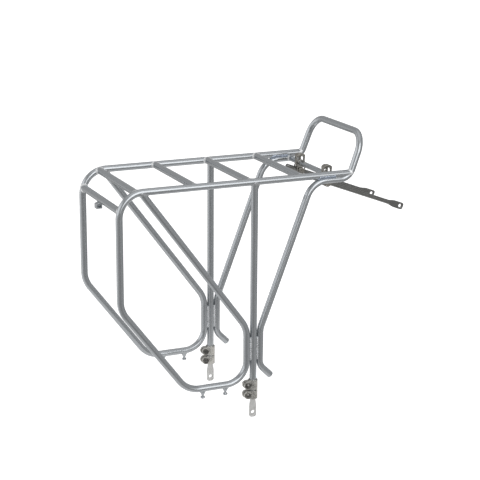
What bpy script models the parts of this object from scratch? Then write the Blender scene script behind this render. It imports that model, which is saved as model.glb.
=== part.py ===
"""Rear rack for a bicycle: a brazed frame of round tube with adjustable feet and stays.

The rack stands upright, +Z up, +X forward (towards the saddle), +Y to the left
side of the bicycle. The origin is below the middle of the rack, at the level of
the lowest point of the feet. Sizes are in millimetres and angles in radians.
Places are given as x from the legs' axes, y from the middle plane and z from the
deck line; at() turns them into world metres.
"""

import math

import bmesh
import bpy
from mathutils import Matrix, Vector

MM = 0.001

# ---------------------------------------------------------------- dimensions
TUBE_R = 5.0            # every frame tube is 10 mm in diameter
STAY_BAR_R = 4.0        # the bar that carries the stays is thinner, 8 mm
GAP = 0.3               # room between pieces that touch
SIDE_Y = 79.2           # side tubes' axes, left and right of the middle plane
SIDES = (("right", -1), ("left", 1))

# side loop: deck rail, rear drop, lower rail, upright behind the leg, back slope
DECK_FRONT_X = 145.0
DROP_X = -200.26
DROP_END_Z = -164.4
LOWER_BEND_X = -101.8
PANNIER_Z = -294.95     # the lower rail
CLUSTER_PITCH = 10.4    # spacing of the three uprights: loop, leg and hoop
BACK_SLOPE = 1.347      # rise over run
BACK_DECK_X = -168.93   # where the slope's axis would cross the deck line
BACK_LOW_Z = -BACK_SLOPE * (-CLUSTER_PITCH - BACK_DECK_X)
BACK_TOP_Z = -8.3
R_DECK_REAR = 35.0
R_DROP = 40.0
R_LOWER = 38.0
R_PANNIER = 32.0
R_BACK = 40.0

# front hoop: from one lower hook up, over the top and down to the other
HOOK_X, HOOK_Z = 28.41, -290.35
FRONT_LOW_Z = -217.4
HOOP_RUN_Z = -7.7       # the level run below the deck rail
FRONT_TOP_X = 89.8
RISER_X = 148.16
HOOP_TOP_X, HOOP_TOP_Z = 171.55, 54.34
HOOP_TOP_IN = 2.44      # each riser leans in by this much at the top
R_HOOK = 18.0
R_FRONT_LOW = 40.0
R_FRONT_TOP = 32.0
R_RISER = 20.0
R_HOOP_TOP = 29.0

BEND_STEP = math.radians(11)    # the longest facet of a bend

# crossbars: x of each axis, and z where it isn't on the deck line
DECK_BARS = (-174.6, -89.2, -6.7, 72.6)
REAR_BEND_X = DROP_X + R_DECK_REAR
REAR_BAR_Z = -24.6
STAY_BAR_X, STAY_BAR_Z = 130.5, HOOP_RUN_Z

# strap pegs under the lower rails
PEG_XS = (("front", -43.62), ("rear", -78.56))
PEG_STEPS = 16
PEG_MERGE = 0.00002     # metres
PEG_PROFILE = (         # (radius, height) from the rail down: a funnel, a neck and a button
    (0, 0), (3.7, 0), (3.5, -1.1), (2.7, -3.0), (1.7, -4.9), (1.5, -5.6),
    (2.3, -6.4), (3.2, -7.3), (3.45, -8.1), (3.1, -9.1), (1.9, -10.0), (0, -10.4),
)

# lamp socket under the rear bar: a short square tube that runs across the rack
BRACKET_HALF = 5.0      # half its length, along Y
BRACKET_BACK = 8.6      # from the bar's axis to its back wall
BRACKET_TOP, BRACKET_BOTTOM = 3.2, 12.0
BRACKET_WALL = 1.5      # closes the hollow at its left end
BRACKET_HOLLOW = ((-7.0, -10.6), (-1.6, -6.2))  # (x, z) corners from the bar's axis

# legs, bored for the foot rods and slit at the back
LEG_END_Z = -320.6
LEG_BORE_R = 4.15
LEG_BORE_TOP_Z = -258.0
LEG_SLIT_W = 1.4
LEG_SLIT_ABOVE = 9.0    # how far the slit runs above the clamp

# leg clamps: two bands, each with a pair of ears at the back, held by a bolt
CLAMP_TOP_Z, CLAMP_BOTTOM_Z = -292.3, -321.2
CLAMP_R = 6.9
CLAMP_SPLIT_Z = -307.8  # the cut that parts the two bands, open at the back
CLAMP_SPLIT = 1.7
CLAMP_SPLIT_FRONT_X = 3.2
EAR_GAP = 2.6
EAR_WALL = 3.6
EAR_HALF = EAR_GAP / 2 + EAR_WALL       # half the pair's thickness, along Y
EAR_R = 6.2
EAR_X = -9.0            # centre of the ears' rounded backs
EAR_LAP = 0.1           # how far the flat part runs behind that centre
EAR_PROUD_R, EAR_PROUD_Y = 0.02, 0.01   # the round part stands out from the flat part
CLAMP_BOLT_X = -9.8
CLAMP_BOLTS = (("upper", -300.0), ("lower", -314.6))
BOLT_R = 2.4
BOLT_HEAD_R, BOLT_HEAD_H = 4.5, 3.8     # hexagon heads and nuts, radius over the corners
BOLT_IN_HEAD = 1.0      # how far the shank runs into its head
BOLT_PAST_NUT = 0.9
NUT_R, NUT_H = 4.5, 3.0

# foot rods
FOOT_ROD_R = 3.8
FOOT_ROD_TOP_Z = -266.0
FOOT_FLAT_Z = -334.6    # fully flat from here down
FOOT_HOLE_Z = -342.96
FOOT_BOTTOM_Z = -350.48
FOOT_BLADE_W, FOOT_BLADE_T = 10.8, 3.0
FOOT_HOLE_R = 2.8

# stays: distances along the stay are from its barrel's axis
STAY_Y = 43.6
STAY_PITCH = math.radians(20.8)
STAY_ROD_R = 3.2
STAY_BACK, STAY_HOLE, STAY_TIP = -24.0, 132.4, 137.9
STAY_FLAT = STAY_HOLE - 9.0
STAY_EYE_W, STAY_EYE_T, STAY_EYE_HOLE_R = 10.4, 3.0, 2.7

# stay clamps: a link round the bar and a barrel, with a screw through its crown
BARREL_R, BARREL_HALF = 5.7, 6.0
BARREL_DROP = 11.5      # barrel axis below the bar's
LINK_WALL, LINK_HALF = 1.5, 5.0
LINK_IN = BARREL_R + GAP
LINK_CROWN = 12.9       # crown's inner face above the bar's axis
LINK_CORNER_R = 5.0
LINK_WINDOW = (30.0, 7.2, 11.8)         # along the stay, across, upright to the stay
STAY_SCREW_R = 2.1
STAY_SCREW_HOLE_R = 2.4
STAY_SCREW_PROUD = 0.6
SOCKET_R = 1.3          # hexagon socket, radius over the corners
SOCKET_BELOW_CROWN = 1.2

# flat ends of the foot rods and stays
ROD_SIDES = 16
ROD_CHAMFER = 0.6
ROD_SWELL = 14.0        # length over which the round rod turns flat
EYE_CORNER = 3.2
EYE_CORNER_STEPS = (30, 60, 90)         # degrees round each corner of an eye

# how far cutters reach past the pieces they cut
BRACKET_OVER = 3.0
LEG_OVER = 5.0
CLAMP_OVER = 4.0

# finished pieces
SMOOTH_ANGLE = math.radians(35)
MERGE_DIST = 0.004      # points closer than this are merged after a Boolean

# ----------------------------------------------------------- where the origin is
REAR_BAR_X = REAR_BEND_X - math.sqrt(R_DECK_REAR**2 - (REAR_BAR_Z + R_DECK_REAR) ** 2)
RACK_BACK_X = REAR_BAR_X - BRACKET_BACK         # the lamp socket reaches furthest back


def eye_front(angle):
    """How far ahead of the barrel one corner step of the stay's eye reaches."""
    turn = math.radians(angle)
    along = STAY_TIP - EYE_CORNER * (1 - math.sin(turn))
    up = STAY_EYE_W / 2 - EYE_CORNER * (1 - math.cos(turn))
    return along * math.cos(STAY_PITCH) + up * math.sin(STAY_PITCH)


RACK_FRONT_X = STAY_BAR_X + max(eye_front(angle) for angle in EYE_CORNER_STEPS)
LEG_X = -(RACK_BACK_X + RACK_FRONT_X) / 2       # puts the origin mid-length
DECK_Z = -FOOT_BOTTOM_Z


def at(x, y, z):
    """A point given from the leg's axis and the deck line, in world metres."""
    return Vector(((x + LEG_X) * MM, y * MM, (z + DECK_Z) * MM))


def above(point, height):
    """The world point this many millimetres above another."""
    return point + Vector((0, 0, height * MM))


# --------------------------------------------------------------------- scene
for old in list(bpy.data.objects):
    bpy.data.objects.remove(old, do_unlink=True)
for old in list(bpy.data.collections):
    bpy.data.collections.remove(old)

PARTS = bpy.data.collections.new("rear_rack")
CUTTERS = bpy.data.collections.new("rear_rack_cutters")
bpy.context.scene.collection.children.link(PARTS)
bpy.context.scene.collection.children.link(CUTTERS)


def material(name, colour, metallic, roughness):
    made = bpy.data.materials.new(name)
    made.use_nodes = True
    shader = made.node_tree.nodes["Principled BSDF"]
    shader.inputs["Base Color"].default_value = (*colour, 1.0)
    shader.inputs["Metallic"].default_value = metallic
    shader.inputs["Roughness"].default_value = roughness
    made.diffuse_color = (*colour, 1.0)
    return made


SILVER = material("silver_paint", colour=(0.43, 0.45, 0.48), metallic=0.8, roughness=0.34)
STAINLESS = material(
    "stainless_casting", colour=(0.42, 0.40, 0.37), metallic=0.9, roughness=0.42
)
RAW_STEEL = material("pale_raw_steel", colour=(0.62, 0.61, 0.58), metallic=0.85, roughness=0.38)
DARK_STEEL = material("dark_steel_rod", colour=(0.13, 0.13, 0.12), metallic=0.8, roughness=0.42)
DARK_CLAMP = material(
    "dark_clamp_steel", colour=(0.16, 0.15, 0.13), metallic=0.85, roughness=0.45
)
BOLT_STEEL = material("bolt_steel", colour=(0.28, 0.27, 0.25), metallic=0.9, roughness=0.38)


# ------------------------------------------------------------ objects and solids
# A solid made without a finish is a helper for Booleans, hidden from renders.
def adopt(name, mesh, finish):
    obj = bpy.data.objects.new(name, mesh)
    if finish is None:
        CUTTERS.objects.link(obj)
        obj.hide_render = True
        obj.display_type = "WIRE"
    else:
        PARTS.objects.link(obj)
        mesh.materials.append(finish)
    return obj


def shade(obj):
    obj.data.shade_smooth()
    obj.data.set_sharp_from_angle(angle=SMOOTH_ANGLE)


def from_bmesh(name, bm, finish):
    bmesh.ops.recalc_face_normals(bm, faces=bm.faces)
    mesh = bpy.data.meshes.new(name)
    bm.to_mesh(mesh)
    bm.free()
    obj = adopt(name, mesh, finish)
    if finish is not None:
        shade(obj)
    return obj


def empty(name, place, parent=None):
    made = bpy.data.objects.new(name, None)
    PARTS.objects.link(made)
    made.empty_display_size = 0.01
    made.location = place
    made.parent = parent
    return made


def settle(obj, parent):
    """Puts a world-space piece under its parent without moving it."""
    bpy.context.view_layer.update()
    obj.parent = parent
    obj.matrix_parent_inverse = parent.matrix_world.inverted()


def cylinder(name, start, end, radius, sides=24, finish=None, turn=0.0):
    """A capped cylinder between two world points; turn rotates its facets about its axis."""
    axis = end - start
    spin = axis.to_track_quat("Z", "Y").to_matrix().to_4x4()
    place = Matrix.Translation((start + end) / 2) @ spin @ Matrix.Rotation(turn, 4, "Z")
    bm = bmesh.new()
    bmesh.ops.create_cone(
        bm, cap_ends=True, segments=sides, radius1=radius * MM, radius2=radius * MM,
        depth=axis.length, matrix=place,
    )
    return from_bmesh(name, bm, finish)


def cross_cylinder(name, x, z, start_y, end_y, radius, **options):
    """A cylinder that runs across the rack."""
    return cylinder(name, at(x, start_y, z), at(x, end_y, z), radius, **options)


def upright_cylinder(name, y, start_z, end_z, radius, **options):
    """A cylinder on a leg's axis."""
    return cylinder(name, at(0, y, start_z), at(0, y, end_z), radius, **options)


def block(name, place, size, finish=None):
    """A box of the given size in metres, centred and turned by a matrix."""
    bm = bmesh.new()
    bmesh.ops.create_cube(bm, size=1.0, matrix=place @ Matrix.Diagonal((*size, 1.0)))
    return from_bmesh(name, bm, finish)


def box(name, low, high, finish=None):
    """An upright box between two opposite corners."""
    return block(name, Matrix.Translation((low + high) / 2), high - low, finish)


def boolean(obj, other, operation="DIFFERENCE"):
    """Applies an exact Boolean to the object's mesh."""
    modifier = obj.modifiers.new(operation.lower(), "BOOLEAN")
    modifier.operation = operation
    modifier.solver = "EXACT"
    modifier.object = other
    bpy.context.view_layer.update()
    graph = bpy.context.evaluated_depsgraph_get()
    result = bpy.data.meshes.new_from_object(obj.evaluated_get(graph))
    obj.modifiers.clear()
    old_mesh = obj.data
    obj.data = result
    bpy.data.meshes.remove(old_mesh)
    result.name = obj.name


def tidy(obj):
    """Merges the close points a Boolean leaves, and shades the result."""
    bm = bmesh.new()
    bm.from_mesh(obj.data)
    bmesh.ops.remove_doubles(bm, verts=bm.verts, dist=MERGE_DIST * MM)
    bmesh.ops.dissolve_degenerate(bm, edges=bm.edges, dist=MERGE_DIST * MM)
    bm.to_mesh(obj.data)
    bm.free()
    shade(obj)


def cut(obj, *cutters):
    for cutter in cutters:
        boolean(obj, cutter)
    tidy(obj)


# --------------------------------------------------------------- bent tubes
def bend(corners, radii):
    """The tube's centre line: straight runs between corners, each an arc."""
    points = [Vector(corners[0])]
    for before, corner, after, radius in zip(corners, corners[1:], corners[2:], radii):
        back = (before - corner).normalized()
        ahead = (after - corner).normalized()
        angle = back.angle(ahead)
        reach = radius * MM / math.tan(angle / 2)
        middle = corner + (back + ahead).normalized() * (radius * MM / math.sin(angle / 2))
        first = corner + back * reach - middle
        normal = first.cross(corner + ahead * reach - middle).normalized()
        sweep = math.pi - angle
        count = max(2, math.ceil(sweep / BEND_STEP))
        for index in range(count + 1):
            turned = Matrix.Rotation(sweep * index / count, 3, normal) @ first
            points.append(middle + turned)
    points.append(Vector(corners[-1]))
    return points


def tube(name, points, radius, finish=None):
    """A solid round bar along a centre line, made from a bevelled curve."""
    curve = bpy.data.curves.new(name, "CURVE")
    curve.dimensions = "3D"
    curve.bevel_depth = radius * MM
    curve.bevel_resolution = 4
    curve.use_fill_caps = True
    curve.twist_mode = "MINIMUM"
    spline = curve.splines.new("POLY")
    spline.points.add(len(points) - 1)
    for slot, point in zip(spline.points, points):
        slot.co = (*point, 1.0)
    guide = bpy.data.objects.new(name + "_line", curve)
    CUTTERS.objects.link(guide)
    bpy.context.view_layer.update()
    graph = bpy.context.evaluated_depsgraph_get()
    mesh = bpy.data.meshes.new_from_object(guide.evaluated_get(graph))
    bpy.data.objects.remove(guide, do_unlink=True)
    bm = bmesh.new()
    bm.from_mesh(mesh)
    bpy.data.meshes.remove(mesh)
    # the end caps come unjoined from the wall
    bmesh.ops.remove_doubles(bm, verts=bm.verts, dist=0.01 * MM)
    return from_bmesh(name, bm, finish)


def loop_line(y):
    corners = [
        at(DECK_FRONT_X, y, 0),
        at(DROP_X, y, 0),
        at(DROP_X, y, DROP_END_Z),
        at(LOWER_BEND_X, y, PANNIER_Z),
        at(-CLUSTER_PITCH, y, PANNIER_Z),
        at(-CLUSTER_PITCH, y, BACK_LOW_Z),
        at(BACK_DECK_X - BACK_TOP_Z / BACK_SLOPE, y, BACK_TOP_Z),
    ]
    return bend(corners, (R_DECK_REAR, R_DROP, R_LOWER, R_PANNIER, R_BACK))


def hoop_side(y):
    """One side's corners, from the hook's end up to the top of the riser."""
    top_y = y - math.copysign(HOOP_TOP_IN, y)
    return [
        at(HOOK_X, y, HOOK_Z),
        at(CLUSTER_PITCH, y, HOOK_Z + (HOOK_X - CLUSTER_PITCH)),    # the hook runs at 45 degrees
        at(CLUSTER_PITCH, y, FRONT_LOW_Z),
        at(FRONT_TOP_X, y, HOOP_RUN_Z),
        at(RISER_X, y, HOOP_RUN_Z),
        at(HOOP_TOP_X, top_y, HOOP_TOP_Z),
    ]


def front_hoop():
    """Builds the hoop and returns its cutter."""
    radii = (R_HOOK, R_FRONT_LOW, R_FRONT_TOP, R_RISER, R_HOOP_TOP)
    line = bend(hoop_side(-SIDE_Y) + hoop_side(SIDE_Y)[::-1], radii + radii[::-1])
    tube("front_hoop", line, TUBE_R, SILVER)
    return tube("cut_hoop", line, TUBE_R + GAP)


def side_loop(side, y, hoop_cutter):
    """Builds one side loop; returns cutters for the whole loop and for its deck rail."""
    line = loop_line(y)
    cut(tube(side + "_side_loop", line, TUBE_R, SILVER), hoop_cutter)
    loop_cutter = tube("cut_loop_" + side, line, TUBE_R + GAP)
    deck_cutter = cylinder("cut_deck_" + side, at(-160, y, 0), at(150, y, 0), TUBE_R + GAP)
    return loop_cutter, deck_cutter


def upright_leg(side, y, deck_cutter):
    """Builds one leg and returns the cutter for its top."""
    leg = upright_cylinder(side + "_leg", y, LEG_END_Z, 0, TUBE_R, sides=16, finish=SILVER)
    bore = upright_cylinder(
        "cut_leg_bore_" + side, y, LEG_END_Z - LEG_OVER, LEG_BORE_TOP_Z, LEG_BORE_R, sides=16
    )
    slit = box(
        "cut_leg_slit_" + side,
        at(-8, y - LEG_SLIT_W / 2, LEG_END_Z - LEG_OVER),
        at(0, y + LEG_SLIT_W / 2, CLAMP_TOP_Z + LEG_SLIT_ABOVE),
    )
    cut(leg, deck_cutter, bore, slit)
    return upright_cylinder("cut_leg_" + side, y, -60, 0, TUBE_R + GAP, sides=16)


# ------------------------------------------------------------------ crossbars
def crossbar(name, x, z, radius, cutters):
    """A bar from side to side, cut back to the tubes it meets."""
    bar = cross_cylinder(
        name, x, z, -SIDE_Y, SIDE_Y, radius, sides=16, finish=SILVER, turn=math.pi / 16
    )
    cut(bar, *cutters)


def crossbars(loops, decks, legs, hoop_cutter):
    # the rearmost deck bar lies on the loops' rear bend, a little below the deck line
    bend_z = -R_DECK_REAR + math.sqrt(R_DECK_REAR**2 - (DECK_BARS[0] - REAR_BEND_X) ** 2)
    crossbar("deck_crossbar_1", DECK_BARS[0], bend_z, TUBE_R, loops)
    crossbar("deck_crossbar_2", DECK_BARS[1], 0.0, TUBE_R, decks)
    crossbar("deck_crossbar_3", DECK_BARS[2], 0.0, TUBE_R, decks + legs)
    crossbar("deck_crossbar_4", DECK_BARS[3], 0.0, TUBE_R, decks)
    crossbar("rear_crossbar", REAR_BAR_X, REAR_BAR_Z, TUBE_R, loops)
    crossbar("stay_crossbar", STAY_BAR_X, STAY_BAR_Z, STAY_BAR_R, [hoop_cutter] + decks)


def light_bracket():
    bracket = box(
        "light_bracket",
        at(REAR_BAR_X - BRACKET_BACK, -BRACKET_HALF, REAR_BAR_Z - BRACKET_BOTTOM),
        at(REAR_BAR_X, BRACKET_HALF, REAR_BAR_Z - BRACKET_TOP),
        SILVER,
    )
    (back, bottom), (front, top) = BRACKET_HOLLOW
    hollow = box(
        "cut_bracket",
        at(REAR_BAR_X + back, -BRACKET_HALF - BRACKET_OVER, REAR_BAR_Z + bottom),
        at(REAR_BAR_X + front, BRACKET_HALF - BRACKET_WALL, REAR_BAR_Z + top),
    )
    bar = cross_cylinder("cut_bracket_bar", REAR_BAR_X, REAR_BAR_Z, -30, 30, TUBE_R + GAP)
    cut(bracket, hollow, bar)


def peg(name, place):
    """A peg turned about Z, its top at the given place."""
    mesh = bpy.data.meshes.new(name)
    bm = bmesh.new()
    verts = [bm.verts.new((radius * MM, 0, z * MM)) for radius, z in PEG_PROFILE]
    for first, second in zip(verts, verts[1:]):
        bm.edges.new((first, second))
    bm.to_mesh(mesh)
    bm.free()
    obj = adopt(name, mesh, SILVER)
    obj.location = place
    screw = obj.modifiers.new("turn", "SCREW")
    screw.steps = PEG_STEPS
    screw.render_steps = PEG_STEPS
    screw.use_merge_vertices = True
    screw.merge_threshold = PEG_MERGE
    screw.use_smooth_shade = True


# ------------------------------------------------------ rods with flat ends
def rod_section(radius, width, thick, blend):
    """Outline of a rod that is being flattened: a circle at 0, a flat bar at 1."""
    half = (width - thick) / 2      # to the centre of the flat bar's rounded edge
    edge = thick / 2
    diagonal = 0.7071               # cosine of 45 degrees
    outline = []
    for index in range(ROD_SIDES):
        angle = 2 * math.pi * index / ROD_SIDES
        c, s = math.cos(angle), math.sin(angle)
        if abs(c) > 0.99:           # the middle of an edge
            flat = (math.copysign(half + edge, c), 0.0)
        elif abs(c) > 0.85:         # its neighbours, part way round the edge
            flat = (
                math.copysign(half + edge * diagonal, c),
                math.copysign(edge * diagonal, s),
            )
        else:                       # the flat faces
            flat = (half * max(-1.0, min(1.0, c / diagonal)), math.copysign(edge, s))
        outline.append(
            (
                radius * c * (1 - blend) + flat[0] * blend,
                radius * s * (1 - blend) + flat[1] * blend,
            )
        )
    return outline


def eye_stations(flat_from, tip, radius, width):
    """(distance, radius, width, blend) along a rod that ends as a round-cornered eye."""
    stations = [
        (0.0, radius - ROD_CHAMFER, width, 0.0),
        (ROD_CHAMFER, radius, width, 0.0),
        (flat_from - ROD_SWELL, radius, width, 0.0),
    ]
    for part in (0.25, 0.5, 0.75, 1.0):
        eased = part * part * (3 - 2 * part)
        stations.append((flat_from - ROD_SWELL * (1 - part), radius, width, eased))
    stations.append((tip - EYE_CORNER, radius, width, 1.0))
    for angle in EYE_CORNER_STEPS:
        back = EYE_CORNER * (1 - math.sin(math.radians(angle)))
        narrow = 2 * EYE_CORNER * (1 - math.cos(math.radians(angle)))
        stations.append((tip - back, radius, width - narrow, 1.0))
    return stations


def flat_ended_rod(name, stations, thick, start, axes, finish):
    """Lofts the stations from a world point; axes are across the flat, through it and along."""
    wide, thin, along = axes
    bm = bmesh.new()
    rings = []
    for distance, radius, width, blend in stations:
        rings.append([
            bm.verts.new(start + (along * distance + wide * u + thin * v) * MM)
            for u, v in rod_section(radius, width, thick, blend)
        ])
    for ring, following in zip(rings, rings[1:]):
        for index in range(ROD_SIDES):
            after = (index + 1) % ROD_SIDES
            bm.faces.new((ring[index], ring[after], following[after], following[index]))
    bm.faces.new(rings[0][::-1])
    bm.faces.new(rings[-1])
    return from_bmesh(name, bm, finish)


# ---------------------------------------------------------------- feet
def add_ears(clamp, side, y, index, bolt_z):
    """Adds a band's ears, still in one piece: a plate with a rounded back."""
    plate = box(
        f"add_ear_{side}_{index}",
        at(EAR_X - EAR_LAP, y - EAR_HALF, bolt_z - EAR_R),
        at(0, y + EAR_HALF, bolt_z + EAR_R),
    )
    boolean(clamp, plate, "UNION")
    reach = EAR_HALF + EAR_PROUD_Y
    rounded = cross_cylinder(
        f"add_ear_round_{side}_{index}", EAR_X, bolt_z, y - reach, y + reach,
        EAR_R + EAR_PROUD_R, turn=math.pi / 24,
    )
    boolean(clamp, rounded, "UNION")


def leg_clamp(side, y, pivot):
    clamp = upright_cylinder(
        side + "_leg_clamp", y, CLAMP_BOTTOM_Z, CLAMP_TOP_Z, CLAMP_R, finish=STAINLESS
    )
    for index, (_, bolt_z) in enumerate(CLAMP_BOLTS):
        add_ears(clamp, side, y, index, bolt_z)
    below, over = CLAMP_BOTTOM_Z - CLAMP_OVER, CLAMP_TOP_Z + CLAMP_OVER
    bore = upright_cylinder("cut_clamp_bore_" + side, y, below, over, TUBE_R + GAP, turn=0.02)
    ear_gap = box(
        "cut_clamp_gap_" + side,
        at(-30, y - EAR_GAP / 2, below),
        at(0, y + EAR_GAP / 2, over),
    )
    split = box(
        "cut_clamp_split_" + side,
        at(-30, y - 12, CLAMP_SPLIT_Z - CLAMP_SPLIT / 2),
        at(CLAMP_SPLIT_FRONT_X, y + 12, CLAMP_SPLIT_Z + CLAMP_SPLIT / 2),
    )
    holes = [
        cross_cylinder(
            f"cut_clamp_hole_{side}_{index}", CLAMP_BOLT_X, bolt_z, y - 15, y + 15,
            BOLT_R + GAP, sides=16,
        )
        for index, (_, bolt_z) in enumerate(CLAMP_BOLTS)
    ]
    cut(clamp, bore, ear_gap, split, *holes)
    settle(clamp, pivot)


def clamp_bolt(side, out, y, label, bolt_z, pivot):
    """A bolt and nut; the head is on the outer side of the rack, the nut on the inner."""
    seat = EAR_HALF + GAP
    nut_end = seat + NUT_H
    bolt = cross_cylinder(
        f"{side}_clamp_bolt_{label}", CLAMP_BOLT_X, bolt_z,
        y - out * (nut_end + BOLT_PAST_NUT), y + out * (seat + BOLT_IN_HEAD),
        BOLT_R, sides=16, finish=BOLT_STEEL,
    )
    head = cross_cylinder(
        f"add_head_{side}_{label}", CLAMP_BOLT_X, bolt_z,
        y + out * seat, y + out * (seat + BOLT_HEAD_H), BOLT_HEAD_R, sides=6,
    )
    boolean(bolt, head, "UNION")
    tidy(bolt)
    settle(bolt, pivot)

    nut = cross_cylinder(
        f"{side}_clamp_nut_{label}", CLAMP_BOLT_X, bolt_z,
        y - out * nut_end, y - out * seat, NUT_R, sides=6, finish=BOLT_STEEL,
    )
    hole = cross_cylinder(
        f"cut_nut_{side}_{label}", CLAMP_BOLT_X, bolt_z, y - 20, y + 20, BOLT_R + GAP, sides=16
    )
    cut(nut, hole)
    settle(nut, pivot)


def foot_rod(side, y, slide):
    stations = eye_stations(
        FOOT_ROD_TOP_Z - FOOT_FLAT_Z, FOOT_ROD_TOP_Z - FOOT_BOTTOM_Z, FOOT_ROD_R, FOOT_BLADE_W
    )
    axes = (Vector((1, 0, 0)), Vector((0, 1, 0)), Vector((0, 0, -1)))
    rod = flat_ended_rod(
        side + "_foot_rod", stations, FOOT_BLADE_T, at(0, y, FOOT_ROD_TOP_Z), axes, RAW_STEEL
    )
    hole = cross_cylinder(
        "cut_foot_hole_" + side, 0, FOOT_HOLE_Z, y - 10, y + 10, FOOT_HOLE_R, sides=20
    )
    cut(rod, hole)
    settle(rod, slide)


def foot(side, sign):
    y = sign * SIDE_Y
    pivot = empty(side + "_foot_pivot", at(0, y, (CLAMP_TOP_Z + CLAMP_BOTTOM_Z) / 2))
    slide = empty(side + "_foot_slide", Vector((0, 0, 0)), pivot)
    leg_clamp(side, y, pivot)
    for label, bolt_z in CLAMP_BOLTS:
        clamp_bolt(side, sign, y, label, bolt_z, pivot)
    foot_rod(side, y, slide)


# ---------------------------------------------------------------- stays
AHEAD = Vector((math.cos(STAY_PITCH), 0, -math.sin(STAY_PITCH)))    # along the stay
UP = Vector((math.sin(STAY_PITCH), 0, math.cos(STAY_PITCH)))
ACROSS = Vector((0, 1, 0))


def link_outline(offset):
    """The link's inner outline grown by offset: (x, z) pairs from the bar's axis."""
    half = LINK_IN + offset
    top = LINK_CROWN + offset
    corner = LINK_CORNER_R + offset
    points = []
    for index in range(13):         # half circle round the barrel
        angle = math.pi + math.pi * index / 12
        points.append((half * math.cos(angle), -BARREL_DROP + half * math.sin(angle)))
    for end, start in ((1, 0.0), (-1, math.pi / 2)):    # front, then back corner of the crown
        for index in range(6):
            angle = start + math.pi / 2 * index / 5
            points.append((
                end * (half - corner) + corner * math.cos(angle),
                top - corner + corner * math.sin(angle),
            ))
    return points


def stay_link(side, centre, hub, slider):
    bm = bmesh.new()
    outer_right, outer_left, inner_right, inner_left = (
        [
            bm.verts.new(centre + Vector((x, half, z)) * MM)
            for x, z in link_outline(offset)
        ]
        for offset in (LINK_WALL, 0.0)
        for half in (-LINK_HALF, LINK_HALF)
    )
    around = (outer_right, outer_left, inner_left, inner_right)
    count = len(outer_right)
    for index in range(count):
        after = (index + 1) % count
        for first, second in zip(around, around[1:] + around[:1]):
            bm.faces.new((first[index], first[after], second[after], second[index]))
    link = from_bmesh(side + "_stay_link", bm, DARK_CLAMP)
    screw_hole = cylinder(
        "cut_link_screw_" + side, above(centre, 8), above(centre, 20), STAY_SCREW_HOLE_R,
        sides=16, turn=0.1,
    )
    # window through the front and back, tall enough for the stay to tilt
    window = block(
        "cut_link_window_" + side,
        Matrix.Translation(hub) @ Matrix.Rotation(STAY_PITCH, 4, "Y"),
        [length * MM for length in LINK_WINDOW],
    )
    cut(link, screw_hole, window)
    settle(link, slider)


def stay_screw(side, centre, slider):
    screw = cylinder(
        side + "_stay_screw",
        above(centre, STAY_BAR_R + GAP),
        above(centre, LINK_CROWN + LINK_WALL + STAY_SCREW_PROUD),
        STAY_SCREW_R, sides=16, finish=BOLT_STEEL,
    )
    socket = cylinder(
        "cut_screw_socket_" + side,
        above(centre, LINK_CROWN - SOCKET_BELOW_CROWN), above(centre, 20), SOCKET_R, sides=6,
    )
    cut(screw, socket)
    settle(screw, slider)


def stay_barrel(side, hub, swivel):
    reach = ACROSS * BARREL_HALF * MM
    barrel = cylinder(
        side + "_stay_barrel", hub - reach, hub + reach, BARREL_R, finish=DARK_CLAMP
    )
    reach = AHEAD * 12 * MM
    bore = cylinder(
        "cut_barrel_" + side, hub - reach, hub + reach, STAY_ROD_R + GAP, sides=20, turn=0.07
    )
    cut(barrel, bore)
    settle(barrel, swivel)


def stay_rod(side, hub, swivel):
    stations = eye_stations(
        STAY_FLAT - STAY_BACK, STAY_TIP - STAY_BACK, STAY_ROD_R, STAY_EYE_W
    )
    stay = flat_ended_rod(
        side + "_stay", stations, STAY_EYE_T, hub + AHEAD * STAY_BACK * MM,
        (UP, ACROSS, AHEAD), DARK_STEEL,
    )
    eye = hub + AHEAD * STAY_HOLE * MM
    reach = ACROSS * 10 * MM
    cut(stay, cylinder("cut_stay_eye_" + side, eye - reach, eye + reach, STAY_EYE_HOLE_R, sides=20))
    settle(stay, swivel)


def stay_assembly(side, sign):
    centre = at(STAY_BAR_X, sign * STAY_Y, STAY_BAR_Z)
    hub = above(centre, -BARREL_DROP)
    slider = empty(side + "_stay_slider", centre)
    swivel = empty(side + "_stay_swivel", Vector((0, 0, -BARREL_DROP * MM)), slider)
    stay_link(side, centre, hub, slider)
    stay_screw(side, centre, slider)
    stay_barrel(side, hub, swivel)
    stay_rod(side, hub, swivel)


# ---------------------------------------------------------------- the rack
def build_rack():
    hoop_cutter = front_hoop()
    loops, decks, legs = [], [], []
    for side, sign in SIDES:
        y = sign * SIDE_Y
        loop_cutter, deck_cutter = side_loop(side, y, hoop_cutter)
        loops.append(loop_cutter)
        decks.append(deck_cutter)
        legs.append(upright_leg(side, y, deck_cutter))
    crossbars(loops, decks, legs, hoop_cutter)
    light_bracket()
    for side, sign in SIDES:
        for label, x in PEG_XS:
            peg(f"{side}_peg_{label}", at(x, sign * SIDE_Y, PANNIER_Z - TUBE_R - GAP))
    for side, sign in SIDES:
        foot(side, sign)
    for side, sign in SIDES:
        stay_assembly(side, sign)


build_rack()
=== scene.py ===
"""Rear rack: the finished look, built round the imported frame.

Lengths are millimetres in the rack's own coordinates until a mesh is made, which turns
them into metres in the shared frame: x runs forward from the legs' axis, y to the left
from the middle, z up from the deck rails' axis.
"""

import math

import bmesh
import bpy
import numpy as np
from mathutils import Matrix, Vector, noise


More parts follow.
